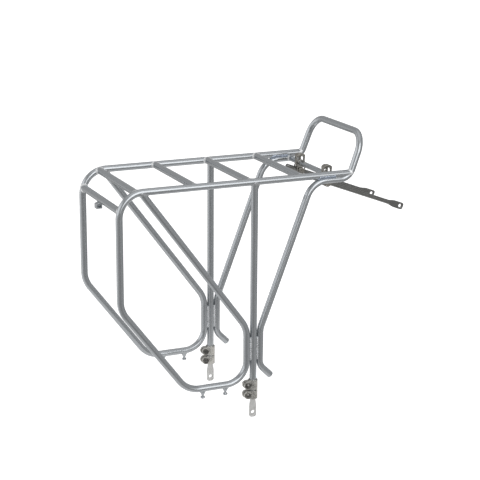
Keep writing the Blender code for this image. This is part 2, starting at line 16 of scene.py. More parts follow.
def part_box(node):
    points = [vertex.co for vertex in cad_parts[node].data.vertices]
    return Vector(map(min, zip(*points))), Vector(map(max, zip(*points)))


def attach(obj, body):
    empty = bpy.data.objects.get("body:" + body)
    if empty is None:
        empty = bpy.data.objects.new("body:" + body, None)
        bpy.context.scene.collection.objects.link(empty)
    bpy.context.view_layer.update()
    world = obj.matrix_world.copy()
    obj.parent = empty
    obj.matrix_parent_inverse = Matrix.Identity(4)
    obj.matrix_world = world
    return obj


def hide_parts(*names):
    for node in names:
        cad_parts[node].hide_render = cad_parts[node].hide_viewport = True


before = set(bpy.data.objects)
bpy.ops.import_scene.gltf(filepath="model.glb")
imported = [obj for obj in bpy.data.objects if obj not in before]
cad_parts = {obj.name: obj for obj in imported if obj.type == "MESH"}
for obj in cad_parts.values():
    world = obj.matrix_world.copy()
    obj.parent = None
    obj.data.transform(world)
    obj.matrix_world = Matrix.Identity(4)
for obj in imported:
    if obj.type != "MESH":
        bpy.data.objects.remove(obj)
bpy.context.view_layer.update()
MM = 0.001

# ------------------------------------------------------------------ anchors
LEG_LOW, LEG_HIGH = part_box("right_leg")
LEG_X = (LEG_LOW.x + LEG_HIGH.x) / 2 / MM
SIDE_Y = -(LEG_LOW.y + LEG_HIGH.y) / 2 / MM
LEG_END_Z = -320.6
ORIGIN = np.array([LEG_X, 0.0, LEG_LOW.z / MM - LEG_END_Z])
SIDES = (("right", -1.0), ("left", 1.0))

# --------------------------------------------------------------- dimensions
TUBE_R = 4.95                     # a hair inside the CAD tube's facets
STAY_BAR_R = 3.97
GAP = 0.3                         # clearance between touching parts
SINK = 0.05                       # how far filler edges lie under a tube's skin

# side loops: deck rail, rear drop, lower run, upright, slanted back leg
RAIL_END_X = 150.0                # the rails' ends are buried in the risers
DECK_FRONT_X = 145.0
DROP_X = -200.26
DROP_END_Z = -164.4
LOWER_BEND_X = -101.8
PANNIER_Z = -294.95
CLUSTER_PITCH = 10.4              # between the three uprights on each side
BACK_SLOPE = 1.347
BACK_FOOT_X = -168.93
BACK_TOP_Z = -1.5                 # the slanted leg's end, buried in the rail
BACK_LOW_Z = -BACK_SLOPE * (-CLUSTER_PITCH - BACK_FOOT_X)
LOOP_RADII = (35.0, 40.0, 38.0, 32.0, 40.0)

# front hoop, from the hook at its foot to its top
HOOK_X = 28.41
HOOK_Z = -290.35
FRONT_LOW_Z = -217.4
FRONT_TOP_X = 89.8
HOOP_RUN_Z = -7.7
RISER_X = 148.16
HOOP_TOP_X = 171.55
HOOP_TOP_Z = 54.34
HOOP_TOP_IN = 2.44
HOOP_RADII = (18.0, 40.0, 32.0, 20.0, 29.0)
RUN_BEND_X = 111.9                # where the hoop's lower bend straightens under the rail

# crossbars
DECK_BARS = (-174.6, -89.2, -6.7, 72.6)
REAR_BEND_R = LOOP_RADII[0]
REAR_BEND_X = DROP_X + REAR_BEND_R
REAR_BAR_Z = -24.6
REAR_BAR_X = REAR_BEND_X - math.sqrt(REAR_BEND_R ** 2 - (REAR_BAR_Z + REAR_BEND_R) ** 2)
STAY_BAR_X = 130.5
STAY_BAR_Z = HOOP_RUN_Z

# foot clamps: two bands with lugs at the back
CLAMP_TOP_Z = -292.3
CLAMP_BOTTOM_Z = -321.2
CLAMP_R = 6.9
CLAMP_SPLIT_Z = -307.8
CLAMP_SPLIT = 1.7
LUG_BACK_X = -13.3
LUG_WALL = 3.6
LUG_GAP = 2.6
LUG_ROUND = 6.2
LUG_ROUND_X = LUG_BACK_X + LUG_ROUND - 1.9
LUG_FACE = LUG_GAP / 2 + LUG_WALL
CLAMP_BOLT_X = -9.8
CLAMP_BOLTS = (("upper", -300.0, 0.35), ("lower", -314.6, 0.9))    # label, z, turn in radians
BOLT_R = 2.4
HEAD_R = 4.5                      # to the hexagon's corners
HEAD_H = 3.8
HEAD_DOME = 1.1
NUT_H = 3.0

# legs' slits and the feet drawn out of them
LEG_BORE_R = 4.15
LEG_BORE_TOP_Z = -258.0
SLIT_HALF = 0.7
SLIT_TOP_Z = CLAMP_TOP_Z + 8.3
FOOT_ROD_R = 3.8
FOOT_ROD_TOP_Z = -266.0
FOOT_FLAT_Z = -334.6
FOOT_HOLE_Z = -342.96
FOOT_BOTTOM_Z = -350.48
FOOT_HOLE_R = 2.8
FOOT_BLADE_W = 10.8

# pressed ends of the feet and stays
BLADE_T = 3.0
EYE_CORNER = 3.2
SWELL = 14.0                      # length over which the round rod goes flat

# stays: distances along a stay are from its barrel
STAY_Y = 43.6
STAY_PITCH = math.radians(20.8)
STAY_TILT = math.radians(12.2)
STAY_ROD_R = 3.2
STAY_BACK = -24.0
STAY_HOLE = 132.4
STAY_TIP = 137.9
STAY_FLAT = 9.0                   # from where the eye is flat to its hole
STAY_EYE_W = 10.4
STAY_EYE_HOLE_R = 2.7
STAY_SCREW_R = 2.1
BARREL_R = 4.8
BARREL_HALF = 6.0
BARREL_DROP = 11.5
LINK_WALL = 1.5
LINK_HALF = 4.9
LINK_SLIM = 2.0
LINK_IN = 6.0
LINK_LOW = 5.0
LINK_CROWN = 12.9
LINK_BOSS = 10.4
SADDLE_R = 5.2
SADDLE_HALF = 4.3

# lamp socket, measured from the rear bar
SOCKET_HALF = 5.0
SOCKET_BACK = 8.6
SOCKET_TOP = 3.2
SOCKET_BOTTOM = 12.0

X, Y, Z = np.eye(3)


def vec(*values):
    return np.array(values, float)


def unit(vector):
    vector = np.asarray(vector, float)
    return vector / np.linalg.norm(vector)


def eased(share):
    """0 to 1 with a soft start and end."""
    share = min(1.0, max(0.0, share))
    return share * share * (3 - 2 * share)


def tilted(pitch):
    """The x and z directions of a frame nosed down by pitch."""
    ahead = vec(math.cos(pitch), 0, -math.sin(pitch))
    upward = vec(math.sin(pitch), 0, math.cos(pitch))
    return ahead, upward


def wobble(where, scale, seed):
    """Smooth noise in -1..1, the same every run."""
    x, y, z = (float(value) / scale for value in where)
    return noise.noise(Vector((x + seed, y - seed, z + 0.37 * seed)))


def crosswise(axis, start=None):
    """Two directions square to an axis, the first as near start as can be."""
    if start is None:
        start = X if abs(axis @ X) < 0.9 else Y
    first = unit(start - (start @ axis) * axis)
    return first, np.cross(axis, first)


def spokes(first, second, sides):
    """Unit vectors round a circle, from first towards second."""
    angles = [2 * math.pi * k / sides for k in range(sides)]
    return np.array([first * math.cos(angle) + second * math.sin(angle) for angle in angles])


# -------------------------------------------------------------- mesh making
class Shell:
    """Points and faces of one closed skin."""

    def __init__(self, points, faces):
        self.points = np.asarray(points, float)
        self.faces = faces


def torus_skin(rings, closed=True):
    """Quads between rings of equal length, the last ring joined to the first if closed."""
    count = len(rings[0])
    total = len(rings)
    faces = []
    for k in range(total if closed else total - 1):
        near = k * count
        far = (k + 1) % total * count
        for i in range(count):
            j = (i + 1) % count
            faces.append((near + i, near + j, far + j, far + i))
    return Shell(np.concatenate([np.asarray(ring, float) for ring in rings]), faces)


def ring_skin(rings):
    """Quads between rings of equal length, with a face closing each end."""
    shell = torus_skin(rings, closed=False)
    count = len(rings[0])
    last = (len(rings) - 1) * count
    shell.faces.append(tuple(range(count))[::-1])
    shell.faces.append(tuple(last + i for i in range(count)))
    return shell


def lathe(profile, base, axis, sides):
    """A turned skin from (radius, height) pairs along an axis, closed flat."""
    axis = unit(axis)
    radials = spokes(*crosswise(axis), sides)
    return ring_skin([base + axis * height + radials * radius for radius, height in profile])


def rod(start, end, radius, sides=48):
    start, end = vec(*start), vec(*end)
    length = float(np.linalg.norm(end - start))
    return lathe([(radius, 0.0), (radius, length)], start, end - start, sides)


def block(low, high):
    """A box from two corners."""
    low, high = vec(*low), vec(*high)
    bm = bmesh.new()
    made = bmesh.ops.create_cube(bm, size=1.0)
    points = np.array([vert.co for vert in made["verts"]])
    index = {vert: k for k, vert in enumerate(made["verts"])}
    faces = [tuple(index[vert] for vert in face.verts) for face in bm.faces]
    bm.free()
    return Shell((low + high) / 2 + points * (high - low), faces)


def tilted_block(low, high, place, ahead, upward):
    """A box whose own x and z run ahead and upward from a place."""
    shell = block(low, high)
    across, deep, tall = shell.points.T[:, :, None]
    shell.points = place + across * ahead + deep * Y + tall * upward
    return shell


def mesh_of(name, shells):
    mesh = bpy.data.meshes.new(name)
    bm = bmesh.new()
    for shell in shells:
        verts = [bm.verts.new(point) for point in (shell.points + ORIGIN) * MM]
        faces = [bm.faces.new([verts[i] for i in face]) for face in shell.faces]
        bmesh.ops.recalc_face_normals(bm, faces=faces)
    bm.to_mesh(mesh)
    bm.free()
    return mesh


def loose(shell):
    """A helper object that isn't a piece until its mesh is used."""
    obj = bpy.data.objects.new("helper", mesh_of("helper", [shell]))
    bpy.context.scene.collection.objects.link(obj)
    return obj


def evaluated(obj):
    """A new mesh of the object with its modifiers applied."""
    bpy.context.view_layer.update()
    graph = bpy.context.evaluated_depsgraph_get()
    return bpy.data.meshes.new_from_object(obj.evaluated_get(graph))


def carve(obj, shell, operation="DIFFERENCE"):
    other = loose(shell)
    modifier = obj.modifiers.new("cut", "BOOLEAN")
    modifier.operation = operation
    modifier.solver = "EXACT"
    modifier.object = other
    made = evaluated(obj)
    obj.modifiers.clear()
    old = obj.data
    obj.data = made
    bpy.data.meshes.remove(old)
    bpy.data.objects.remove(other, do_unlink=True)


def softened(obj, voxel, rounds, keep):
    """Remeshes an object finely and relaxes it, which rounds its edges as casting does."""
    remesh = obj.modifiers.new("remesh", "REMESH")
    remesh.mode = "VOXEL"
    remesh.voxel_size = voxel * MM
    remesh.adaptivity = 0.0
    smooth = obj.modifiers.new("relax", "SMOOTH")
    smooth.factor = 0.5
    smooth.iterations = rounds
    thin = obj.modifiers.new("thin", "DECIMATE")
    thin.ratio = keep
    mesh = evaluated(obj)
    bpy.data.meshes.remove(taken(obj))
    return mesh


def taken(obj):
    """An object's mesh, with the object removed."""
    mesh = obj.data
    bpy.data.objects.remove(obj, do_unlink=True)
    return mesh


def piece(name, shells, body, finish, replaces=None, sharp=40):
    """One visible object: made of shells or of a ready mesh, riding on a body."""
    mesh = shells if isinstance(shells, bpy.types.Mesh) else mesh_of(name, shells)
    obj = bpy.data.objects.new(name, mesh)
    bpy.context.scene.collection.objects.link(obj)
    mesh.materials.clear()
    mesh.materials.append(finish)
    mesh.shade_smooth()
    mesh.set_sharp_from_angle(angle=math.radians(sharp))
    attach(obj, body)
    if replaces:
        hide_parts(replaces)


def frame_piece(name, shells, finish, replaces=None, sharp=40):
    piece(name, shells, "frame", finish, replaces, sharp)


# -------------------------------------------------------------------- tubes
BEND_STEP = math.radians(3.0)
LONGEST_RUN = 26.0                # between a tube's rings

# How a tube's end closes, from the wall to the middle: (share of the radius, shift outward)
END_RINGS = {
    "cut": [(1.0, -0.45), (0.965, -0.14), (0.905, 0.0), (0.5, 0.0)],
    "dome": [(1.0, -1.9), (0.985, -1.45), (0.93, -0.95), (0.82, -0.5), (0.64, -0.18),
             (0.4, -0.03), (0.15, 0.0)],
    "buried": [(1.0, 0.0)],       # the end lies inside another tube
}


def bend(corners, radii):
    """A centre line of straight runs and arcs."""
    points = [vec(*corners[0])]
    for before, corner, after, radius in zip(corners, corners[1:], corners[2:], radii):
        corner = vec(*corner)
        back = unit(vec(*before) - corner)
        ahead = unit(vec(*after) - corner)
        angle = math.acos(float(np.clip(back @ ahead, -1, 1)))
        reach = radius / math.tan(angle / 2)
        centre = corner + unit(back + ahead) * (radius / math.sin(angle / 2))
        first = corner + back * reach - centre
        second = corner + ahead * reach - centre
        side = np.cross(unit(np.cross(first, second)), first)
        sweep = math.pi - angle
        count = max(2, math.ceil(sweep / BEND_STEP))
        for k in range(count + 1):
            turned = sweep * k / count
            points.append(centre + first * math.cos(turned) + side * math.sin(turned))
    points.append(vec(*corners[-1]))
    return np.array(points)


def loop_line(y):
    return bend(
        [
            (RAIL_END_X, y, 0), (DROP_X, y, 0), (DROP_X, y, DROP_END_Z),
            (LOWER_BEND_X, y, PANNIER_Z), (-CLUSTER_PITCH, y, PANNIER_Z),
            (-CLUSTER_PITCH, y, BACK_LOW_Z),
            (BACK_FOOT_X - BACK_TOP_Z / BACK_SLOPE, y, BACK_TOP_Z),
        ],
        LOOP_RADII,
    )


def hoop_line():
    def half(y):
        top_y = y - math.copysign(HOOP_TOP_IN, y)
        return [
            (HOOK_X, y, HOOK_Z), (CLUSTER_PITCH, y, HOOK_Z + HOOK_X - CLUSTER_PITCH),
            (CLUSTER_PITCH, y, FRONT_LOW_Z), (FRONT_TOP_X, y, HOOP_RUN_Z),
            (RISER_X, y, HOOP_RUN_Z), (HOOP_TOP_X, top_y, HOOP_TOP_Z),
        ]

    return bend(half(-SIDE_Y) + half(SIDE_Y)[::-1], HOOP_RADII + HOOP_RADII[::-1])


def tangents(points):
    steps = np.diff(points, axis=0)
    steps /= np.linalg.norm(steps, axis=1)[:, None]
    along = np.empty_like(points)
    along[0], along[-1] = steps[0], steps[-1]
    along[1:-1] = steps[:-1] + steps[1:]
    return along / np.linalg.norm(along, axis=1)[:, None]


def carried(along, start):
    """A normal and its cross direction, carried along the tangents without twisting."""
    normals = np.empty_like(along)
    normals[0] = unit(start - (start @ along[0]) * along[0])
    for k in range(1, len(along)):
        previous = normals[k - 1]
        normals[k] = unit(previous - (previous @ along[k]) * along[k])
    return normals, np.cross(along, normals)


def bent_amount(points, along):
    """1 inside an arc and 0 on a straight, from how fast the tangent turns."""
    turn = np.zeros(len(points))
    for k in range(1, len(points) - 1):
        length = np.linalg.norm(points[k + 1] - points[k - 1])
        turn[k] = np.linalg.norm(along[k + 1] - along[k - 1]) / max(length, 1e-6)
    return np.clip(turn * 30.0, 0, 1)


def subdivided(points, longest):
    """The same line with its long straights cut into equal runs."""
    cut = [points[0]]
    for start, end in zip(points, points[1:]):
        count = max(1, math.ceil(np.linalg.norm(end - start) / longest))
        for k in range(1, count + 1):
            cut.append(start + (end - start) * k / count)
    return np.array(cut)


def tube(points, radius, ends, sides=36, start=Y, oval=0.035):
    """A round tube's skin. Bends are pressed slightly oval, as a bender leaves them."""
    points = subdivided(points, LONGEST_RUN)
    along = tangents(points)
    normals, crosses = carried(along, start)
    squeeze = bent_amount(points, along) * oval
    # let the ovality come and go over the neighbouring rings
    for _ in range(3):
        squeeze[1:-1] = (squeeze[:-2] + squeeze[1:-1] * 2 + squeeze[2:]) / 4
    curve = np.zeros_like(points)
    curve[1:-1] = along[2:] - along[:-2]
    rings = []
    for k, centre in enumerate(points):
        size = np.linalg.norm(curve[k])
        inward = curve[k] / size if size > 1e-4 else normals[k]
        ring = []
        for radial in spokes(normals[k], crosses[k], sides):
            share = abs(float(radial @ inward))
            ring.append(centre + radial * radius * (1 - squeeze[k] * share * share))
        rings.append(np.array(ring))

    def closing(end, outward):
        """Rings that close an end; the end plane stays at the centre's."""
        centre = points[end]
        return [centre + (rings[end] - centre) * scale + outward * shift
                for scale, shift in END_RINGS[ends[end]]]

    return ring_skin(closing(0, -along[0])[::-1] + rings[1:-1] + closing(-1, along[-1]))


# ------------------------------------------------------------------- filler
FILLET_SIDES = 64
SKIN_GAP = 0.12                   # this close to a skin counts as touching it


class Line:
    """A tube seen as a centre line with a radius, for finding where surfaces meet."""

    def __init__(self, points, radius=TUBE_R):
        self.starts = np.asarray(points[:-1], float)
        self.spans = np.asarray(points[1:], float) - self.starts
        self.squares = (self.spans ** 2).sum(1)
        self.radius = radius

    def nearest(self, point):
        shares = ((point - self.starts) * self.spans).sum(1) / self.squares
        found = self.starts + self.spans * np.clip(shares, 0, 1)[:, None]
        return found[int(((found - point) ** 2).sum(1).argmin())]


def gap_to(point, lines):
    """(distance outside the nearest tube's skin, that tube's centre point, its radius)"""
    gaps = []
    for line in lines:
        centre = line.nearest(point)
        gaps.append((float(np.linalg.norm(point - centre)) - line.radius, centre, line.radius))
    return min(gaps, key=lambda gap: gap[0])


LOOPS = {side: loop_line(sign * SIDE_Y) for side, sign in SIDES}
LOOP_LINES = {side: Line(points) for side, points in LOOPS.items()}
HOOP = hoop_line()
HOOP_LINE = Line(HOOP)


def meeting_point(base, direction, lines, reach):
    """The outermost place where a line along a branch's wall meets the tubes' skins."""
    def clear(distance):
        return gap_to(base + direction * distance, lines)[0] > SKIN_GAP

    stride = 0.7
    near = reach
    while near > -1.0 and clear(near):
        near -= stride
    far = min(near + stride, reach)
    for _ in range(14):
        middle = (near + far) / 2
        if clear(middle):
            far = middle
        else:
            near = middle
    return base + direction * (near + far) / 2


def arch(start, control, end, count):
    """Points along a parabola pulled towards its control point."""
    return [start * (1 - share) ** 2 + control * 2 * share * (1 - share) + end * share * share
            for share in np.linspace(0, 1, count)]


def fillet(origin, direction, radius, lines, seed, reach=16.0, grow=1.9, lift=0.35, ripple=0.16):
    """The filler between a branch tube and the tubes it meets, as one closed ring.

    origin lies on the branch's axis inside the joint and direction points away from it.
    reach is how far out the joint may lie, grow the filler's width on each skin, lift its
    bulge and ripple how uneven the bulge is.
    """
    direction = unit(direction)
    first = unit(np.cross(direction, Z if abs(direction @ Z) < 0.9 else X))
    radials = spokes(first, np.cross(direction, first), FILLET_SIDES)
    meets = np.array([
        meeting_point(origin + radial * (radius - 0.04), direction, lines, reach)
        for radial in radials
    ])
    for _ in range(2):
        meets = (np.roll(meets, 1, 0) + meets * 2 + np.roll(meets, -1, 0)) / 4
    rings = []
    for k, radial in enumerate(radials):
        meet = meets[k]
        along = unit(meets[(k + 1) % FILLET_SIDES] - meets[k - 1])
        normal = unit(meet - gap_to(meet, lines)[1])
        # the ways up the branch's skin and out over the other tube's
        upward = unit(np.cross(along, radial))
        if upward @ direction <= 0:
            upward = -upward
        outward = unit(np.cross(along, normal))
        if outward @ (radial - direction) < 0:
            outward = -outward
        top = meet + upward * (grow * (1 + 0.16 * wobble(meet, 2.1, seed)))
        centre = origin + direction * float((top - origin) @ direction)
        top = centre + unit(top - centre) * (radius - SINK)
        foot = meet + outward * (grow * (1 + 0.16 * wobble(meet, 1.2, seed + 11)))
        _, centre, foot_radius = gap_to(foot, lines)
        foot = centre + unit(foot - centre) * (foot_radius - SINK)
        mean = unit(radial + normal)
        control = meet + mean * (lift + ripple * wobble(meet, 0.9, seed + 5))
        rings.append(arch(top, control, foot, 8) + [meet - mean * 1.1])
    return torus_skin(rings)


def seam(length, first, second, outward, angles, lift, seed, lump, pitch, step, taper):
    """A bead laid in the valley between two parallel tubes.

    first and second give the tubes' axes by the share of the length. angles are how far
    the bead climbs each tube, in degrees from the line between the axes. lift is the
    bead's height, lump and pitch its waves, taper the length of its ends.
    """
    count = max(6, int(length / step))
    rings = []
    for k in range(count + 1):
        distance = length * k / count
        fade = math.sqrt(max(min(1.0, distance / taper, (length - distance) / taper), 0.0))
        axes = first(k / count), second(k / count)
        across = unit(axes[1] - axes[0])
        half = float(np.linalg.norm(axes[1] - axes[0])) / 2
        least = math.acos(min(0.999, half / TUBE_R)) if half < TUBE_R else 0.0
        drifts = wobble(axes[0], 2.6, seed), wobble(axes[1], 2.6, seed + 7)
        edges = []
        for axis, toward, angle, drift in zip(axes, (across, -across), angles, drifts):
            climb = math.radians(angle) * (1 + 0.1 * drift)
            climb = least + (climb - least) * (0.25 + 0.75 * fade)
            radial = toward * math.cos(climb) + outward * math.sin(climb)
            edges.append(axis + radial * (TUBE_R - SINK))
        middle = (axes[0] + axes[1]) / 2
        wave = lump * (0.5 + 0.5 * math.sin(2 * math.pi * distance / pitch + 1.1 * drifts[0]))
        wave += 0.5 * lump * wobble(axes[0] + axes[1], 1.5, seed + 3)
        floor_height = float(((edges[0] + edges[1]) / 2 - middle) @ outward)
        height = floor_height * (1 - fade) + (lift + wave) * fade
        ring = arch(edges[0], middle + outward * height, edges[1], 9)
        rings.append(ring + [middle + outward * (floor_height - 1.2)])
    return ring_skin(rings)


# -------------------------------------------------------------- shader nodes
def nodes_of(name):
    material = bpy.data.materials.new(name)
    material.use_nodes = True
    tree = material.node_tree
    return material, tree, tree.nodes["Principled BSDF"]


def feed(tree, node, inputs):
    """Sets a node's inputs by name or number, linking those given as another's output."""
    for key, value in inputs.items():
        socket = node.inputs[key]
        if isinstance(value, bpy.types.NodeSocket):
            tree.links.new(value, socket)
        elif socket.type == "RGBA":
            socket.default_value = (*value, 1.0)
        else:
            socket.default_value = value


def add(tree, kind, inputs=None, **settings):
    node = tree.nodes.new(kind)
    for key, value in settings.items():
        setattr(node, key, value)
    feed(tree, node, inputs or {})
    return node


def metre_coords(tree, stretch=(1, 1, 1), turn=(0, 0, 0)):
    """Object coordinates in metres, stretched for a brushed look."""
    coords = add(tree, "ShaderNodeTexCoord").outputs["Object"]
    inputs = {"Scale": stretch, "Rotation": turn, "Vector": coords}
    return add(tree, "ShaderNodeMapping", inputs).outputs["Vector"]


def noise_of(tree, vector, scale, detail=3.0, rough=0.5):
    inputs = {"Scale": scale, "Detail": detail, "Roughness": rough, "Vector": vector}
    return add(tree, "ShaderNodeTexNoise", inputs).outputs["Fac"]


def ramp(tree, value, span, onto, **settings):
    """Takes one span of values onto another."""
    inputs = {"From Min": span[0], "From Max": span[1], "To Min": onto[0], "To Max": onto[1],
              "Value": value}
    return add(tree, "ShaderNodeMapRange", inputs, **settings).outputs["Result"]


def mixed(tree, factor, first, second):
    """A blend of two colours."""
    inputs = {6: first, 7: second, 0: factor}
    return add(tree, "ShaderNodeMix", inputs, data_type="RGBA").outputs[2]


def bump(tree, height, strength, distance, below=None):
    """A bump's normal, with its distance in metres, laid over another if given."""
    inputs = {"Strength": strength, "Distance": distance, "Height": height}
    if below is not None:
        inputs["Normal"] = below
    return add(tree, "ShaderNodeBump", inputs).outputs["Normal"]


def facing(tree, vector, direction):
    inputs = {1: direction, 0: vector}
    return add(tree, "ShaderNodeVectorMath", inputs, operation="DOT_PRODUCT").outputs["Value"]


def combined(tree, kind, first, second=0.0):
    inputs = {0: first, 1: second}
    return add(tree, "ShaderNodeMath", inputs, operation=kind).outputs["Value"]


def bearing(tree, vector, degrees):
    """Angle in radians between a direction's heading and the given one, -pi to pi."""
    angle = math.radians(degrees)
    aside = facing(tree, vector, (-math.sin(angle), math.cos(angle), 0))
    ahead = facing(tree, vector, (math.cos(angle), math.sin(angle), 0))
    return combined(tree, "ARCTAN2", aside, ahead)


def window(tree, value, half, soft):
    """1 while |value| is below half, falling smoothly to 0 over soft."""
    return ramp(tree, combined(tree, "ABSOLUTE", value), (half - soft / 2, half + soft / 2),
                (1.0, 0.0), interpolation_type="SMOOTHSTEP")


# ----------------------------------------------------------------- materials
def silver_paint(name, dark, light, filler=True, toning=0.35, metallic=0.88):
    """Metallic paint: flakes from dark to light under a thin clear coat.

    Over filler it is rough and lumpy, elsewhere it has a little orange peel. toning is
    how far clouds of an even grey cover the flakes.
    """
    material, tree, shader = nodes_of(name)
    where = metre_coords(tree)
    cells = add(tree, "ShaderNodeTexVoronoi", {"Scale": 5200.0, "Vector": where}, feature="F1")
    flakes = add(tree, "ShaderNodeSeparateColor", {"Color": cells.outputs["Color"]}).outputs
    cloud = noise_of(tree, where, scale=38.0, detail=2.0)
    base = mixed(tree, flakes["Red"], dark, light)
    if filler:
        grain = noise_of(tree, where, scale=1500.0, detail=4.0, rough=0.65)
        rough = ramp(tree, grain, span=(0.35, 0.65), onto=(0.16, 0.34))
        lumps = noise_of(tree, where, scale=620.0, detail=2.0)
        normal = bump(tree, lumps, strength=0.55, distance=0.0009)
        normal = bump(tree, grain, strength=0.35, distance=0.0002, below=normal)
    else:
        peel = noise_of(tree, where, scale=900.0, detail=2.0)
        rough = ramp(tree, cloud, span=(0.3, 0.7), onto=(0.17, 0.22))
        normal = bump(tree, peel, strength=0.08, distance=0.00005)
        normal = bump(tree, flakes["Green"], strength=0.03, distance=0.00002, below=normal)
    clouded = ramp(tree, cloud, span=(0.3, 0.7), onto=(0.0, toning))
    feed(tree, shader, {
        "Base Color": mixed(tree, clouded, base, (0.485, 0.508, 0.53)),
        "Roughness": rough,
        "Normal": normal,
        "Metallic": metallic,
        "Coat Weight": 0.35,
        "Coat Roughness": 0.12,
    })
    return material


def worn_steel(name, colour, shade, metallic, rough, grime, cast=0.0, **brushing):
    """Bare or plated steel, brushed from colour to shade and stained in the low tones.

    grime is the strength of the stains, cast that of the cast grain, and brushing the
    stretch and turn of the lines.
    """
    material, tree, shader = nodes_of(name)
    where = metre_coords(tree)
    along = metre_coords(tree, **brushing)
    streaks = noise_of(tree, along, scale=900.0, detail=4.0, rough=0.6)
    blotch = noise_of(tree, where, scale=160.0, detail=4.0, rough=0.55)
    fine = noise_of(tree, where, scale=2600.0, detail=3.0, rough=0.6)
    base = mixed(tree, ramp(tree, streaks, span=(0.35, 0.65), onto=(0.0, 1.0)), colour, shade)
    stains = ramp(tree, blotch, span=(0.42, 0.72), onto=(0.0, grime))
    stained = mixed(tree, stains, base, tuple(value * 0.45 for value in shade))
    roughness = ramp(tree, streaks, span=(0.3, 0.7), onto=(rough - 0.07, rough + 0.09))
    normal = None
    if cast:
        pits = noise_of(tree, where, scale=1100.0, detail=3.0, rough=0.6)
    normal = bump(tree, streaks, strength=0.18, distance=0.00008)
    if cast:
        normal = bump(tree, pits, strength=cast, distance=0.00025, below=normal)
    normal = bump(tree, fine, strength=0.10, distance=0.00004, below=normal)
    feed(tree, shader, {
        "Base Color": stained,
        "Metallic": metallic,
        "Roughness": roughness,
        "Normal": normal,
    })
    return material


SILVER = silver_paint(
    "silver_paint", dark=(0.465, 0.487, 0.503), light=(0.57, 0.592, 0.61), filler=False)
# Paint over the beads: rough and lumpy as filler is, and lighter than the tubes' paint as a
# painted highlight for the light the beads catch.
FILLER_HIGHLIGHT_PAINT = silver_paint(
    "silver_paint_over_filler_painted_highlight", dark=(0.55, 0.56, 0.575), light=(0.76, 0.775, 0.79))
# Fillets at the crossbars' ends and the rails' front ends: silver paint made nearly white and
# less metallic, a painted highlight for the light they catch.
FILLET_HIGHLIGHT_PAINT = silver_paint(
    "braze_painted_highlight", dark=(0.82, 0.83, 0.835), light=(0.95, 0.955, 0.96), toning=0.0, metallic=0.38)
BLUE_WELD = silver_paint(
    "bluish_filler", dark=(0.34, 0.395, 0.485), light=(0.56, 0.62, 0.715))
CAST = worn_steel(
    "nickel_casting", colour=(0.78, 0.77, 0.73), shade=(0.55, 0.535, 0.50),
    metallic=0.82, rough=0.23, grime=0.75, cast=0.55)
BOLT = worn_steel(
    "bolt_steel", colour=(0.24, 0.235, 0.22), shade=(0.11, 0.107, 0.10),
    metallic=0.96, rough=0.17, grime=0.80)
BLADE = worn_steel(
    "pale_foot_steel", colour=(0.74, 0.735, 0.72), shade=(0.60, 0.595, 0.58),
    metallic=0.50, rough=0.32, grime=0.16, stretch=(1.0, 1.0, 0.05))
ROD = worn_steel(
    "dark_stay_steel", colour=(0.30, 0.30, 0.29), shade=(0.225, 0.225, 0.215),
    metallic=0.94, rough=0.24, grime=0.25, stretch=(0.06, 1.0, 1.0), turn=(0, STAY_PITCH, 0))
SADDLE = worn_steel(
    "pale_saddle_steel", colour=(0.66, 0.645, 0.61), shade=(0.52, 0.505, 0.47),
    metallic=0.85, rough=0.27, grime=0.4, cast=0.2)
STRAP = worn_steel(
    "dark_strap_steel", colour=(0.49, 0.47, 0.43), shade=(0.34, 0.325, 0.29),
    metallic=0.90, rough=0.25, grime=0.50, cast=0.25)


# ---------------------------------------------------------------- frame tubes
def leg(side, sign):
    """Solid above, bored for the foot rod, slit at the back where the clamp squeezes it."""
    y = sign * SIDE_Y
    line = subdivided(np.array([[0, y, LEG_END_Z], [0, y, -2.0]]), 30.0)
    obj = loose(tube(line, TUBE_R, ("cut", "buried"), sides=48, start=X))
    below = LEG_END_Z - 5
    carve(obj, rod((0, y, below), (0, y, LEG_BORE_TOP_Z), LEG_BORE_R))
    carve(obj, block((-9, y - SLIT_HALF, below), (0, y + SLIT_HALF, SLIT_TOP_Z)))
    carve(obj, rod((-9, y, SLIT_TOP_Z), (0, y, SLIT_TOP_Z), SLIT_HALF, 24))
    frame_piece(side + "_leg_tube", taken(obj), SILVER, side + "_leg", sharp=30)


def crossbars():
    """Every crossbar's x, z and radius; those behind the rails' straight follow the bend."""
    bars = {}
    for number, x in enumerate(DECK_BARS, 1):
        z = 0.0
        if x < REAR_BEND_X:
            z = -REAR_BEND_R + math.sqrt(REAR_BEND_R ** 2 - (x - REAR_BEND_X) ** 2)
        bars[f"deck_crossbar_{number}"] = (x, z, TUBE_R)
    bars["rear_crossbar"] = (REAR_BAR_X, REAR_BAR_Z, TUBE_R)
    bars["stay_crossbar"] = (STAY_BAR_X, STAY_BAR_Z, STAY_BAR_R)
    return bars


BARS = crossbars()


def frame_tubes():
    for side, _ in SIDES:
        skin = tube(LOOPS[side], TUBE_R, ("buried", "buried"))
        frame_piece(side + "_loop_tube", [skin], SILVER, side + "_side_loop")
    frame_piece("hoop_tube", [tube(HOOP, TUBE_R, ("dome", "dome"))], SILVER, "front_hoop")
    for side, sign in SIDES:
        leg(side, sign)
    for name, (x, z, radius) in BARS.items():
        line = np.array([[x, -SIDE_Y, z], [x, SIDE_Y, z]])
        skin = tube(line, radius, ("buried", "buried"), start=X)
        frame_piece(name.replace("crossbar", "bar"), [skin], SILVER, name)


# --------------------------------------------------------- filler at the joints
UPRIGHT_BEAD_Z = (-262.5, -226.8)

# Beads between the rail and the hoop's run below it: from x, to x, degrees climbed up
# the rail and up the run, lift, lump, pitch, seed
RUN_BEADS = (
    (98.0, 126.0, 84, 48, 5.5, 1.2, 2.3, 40),
    (101.0, 125.0, 40, 60, 5.1, 0.9, 1.9, 49),
)
RUN_FILLS = ((123.0, 147.0, 50, 50, 3.6, 0.15, 4.0, 58),)


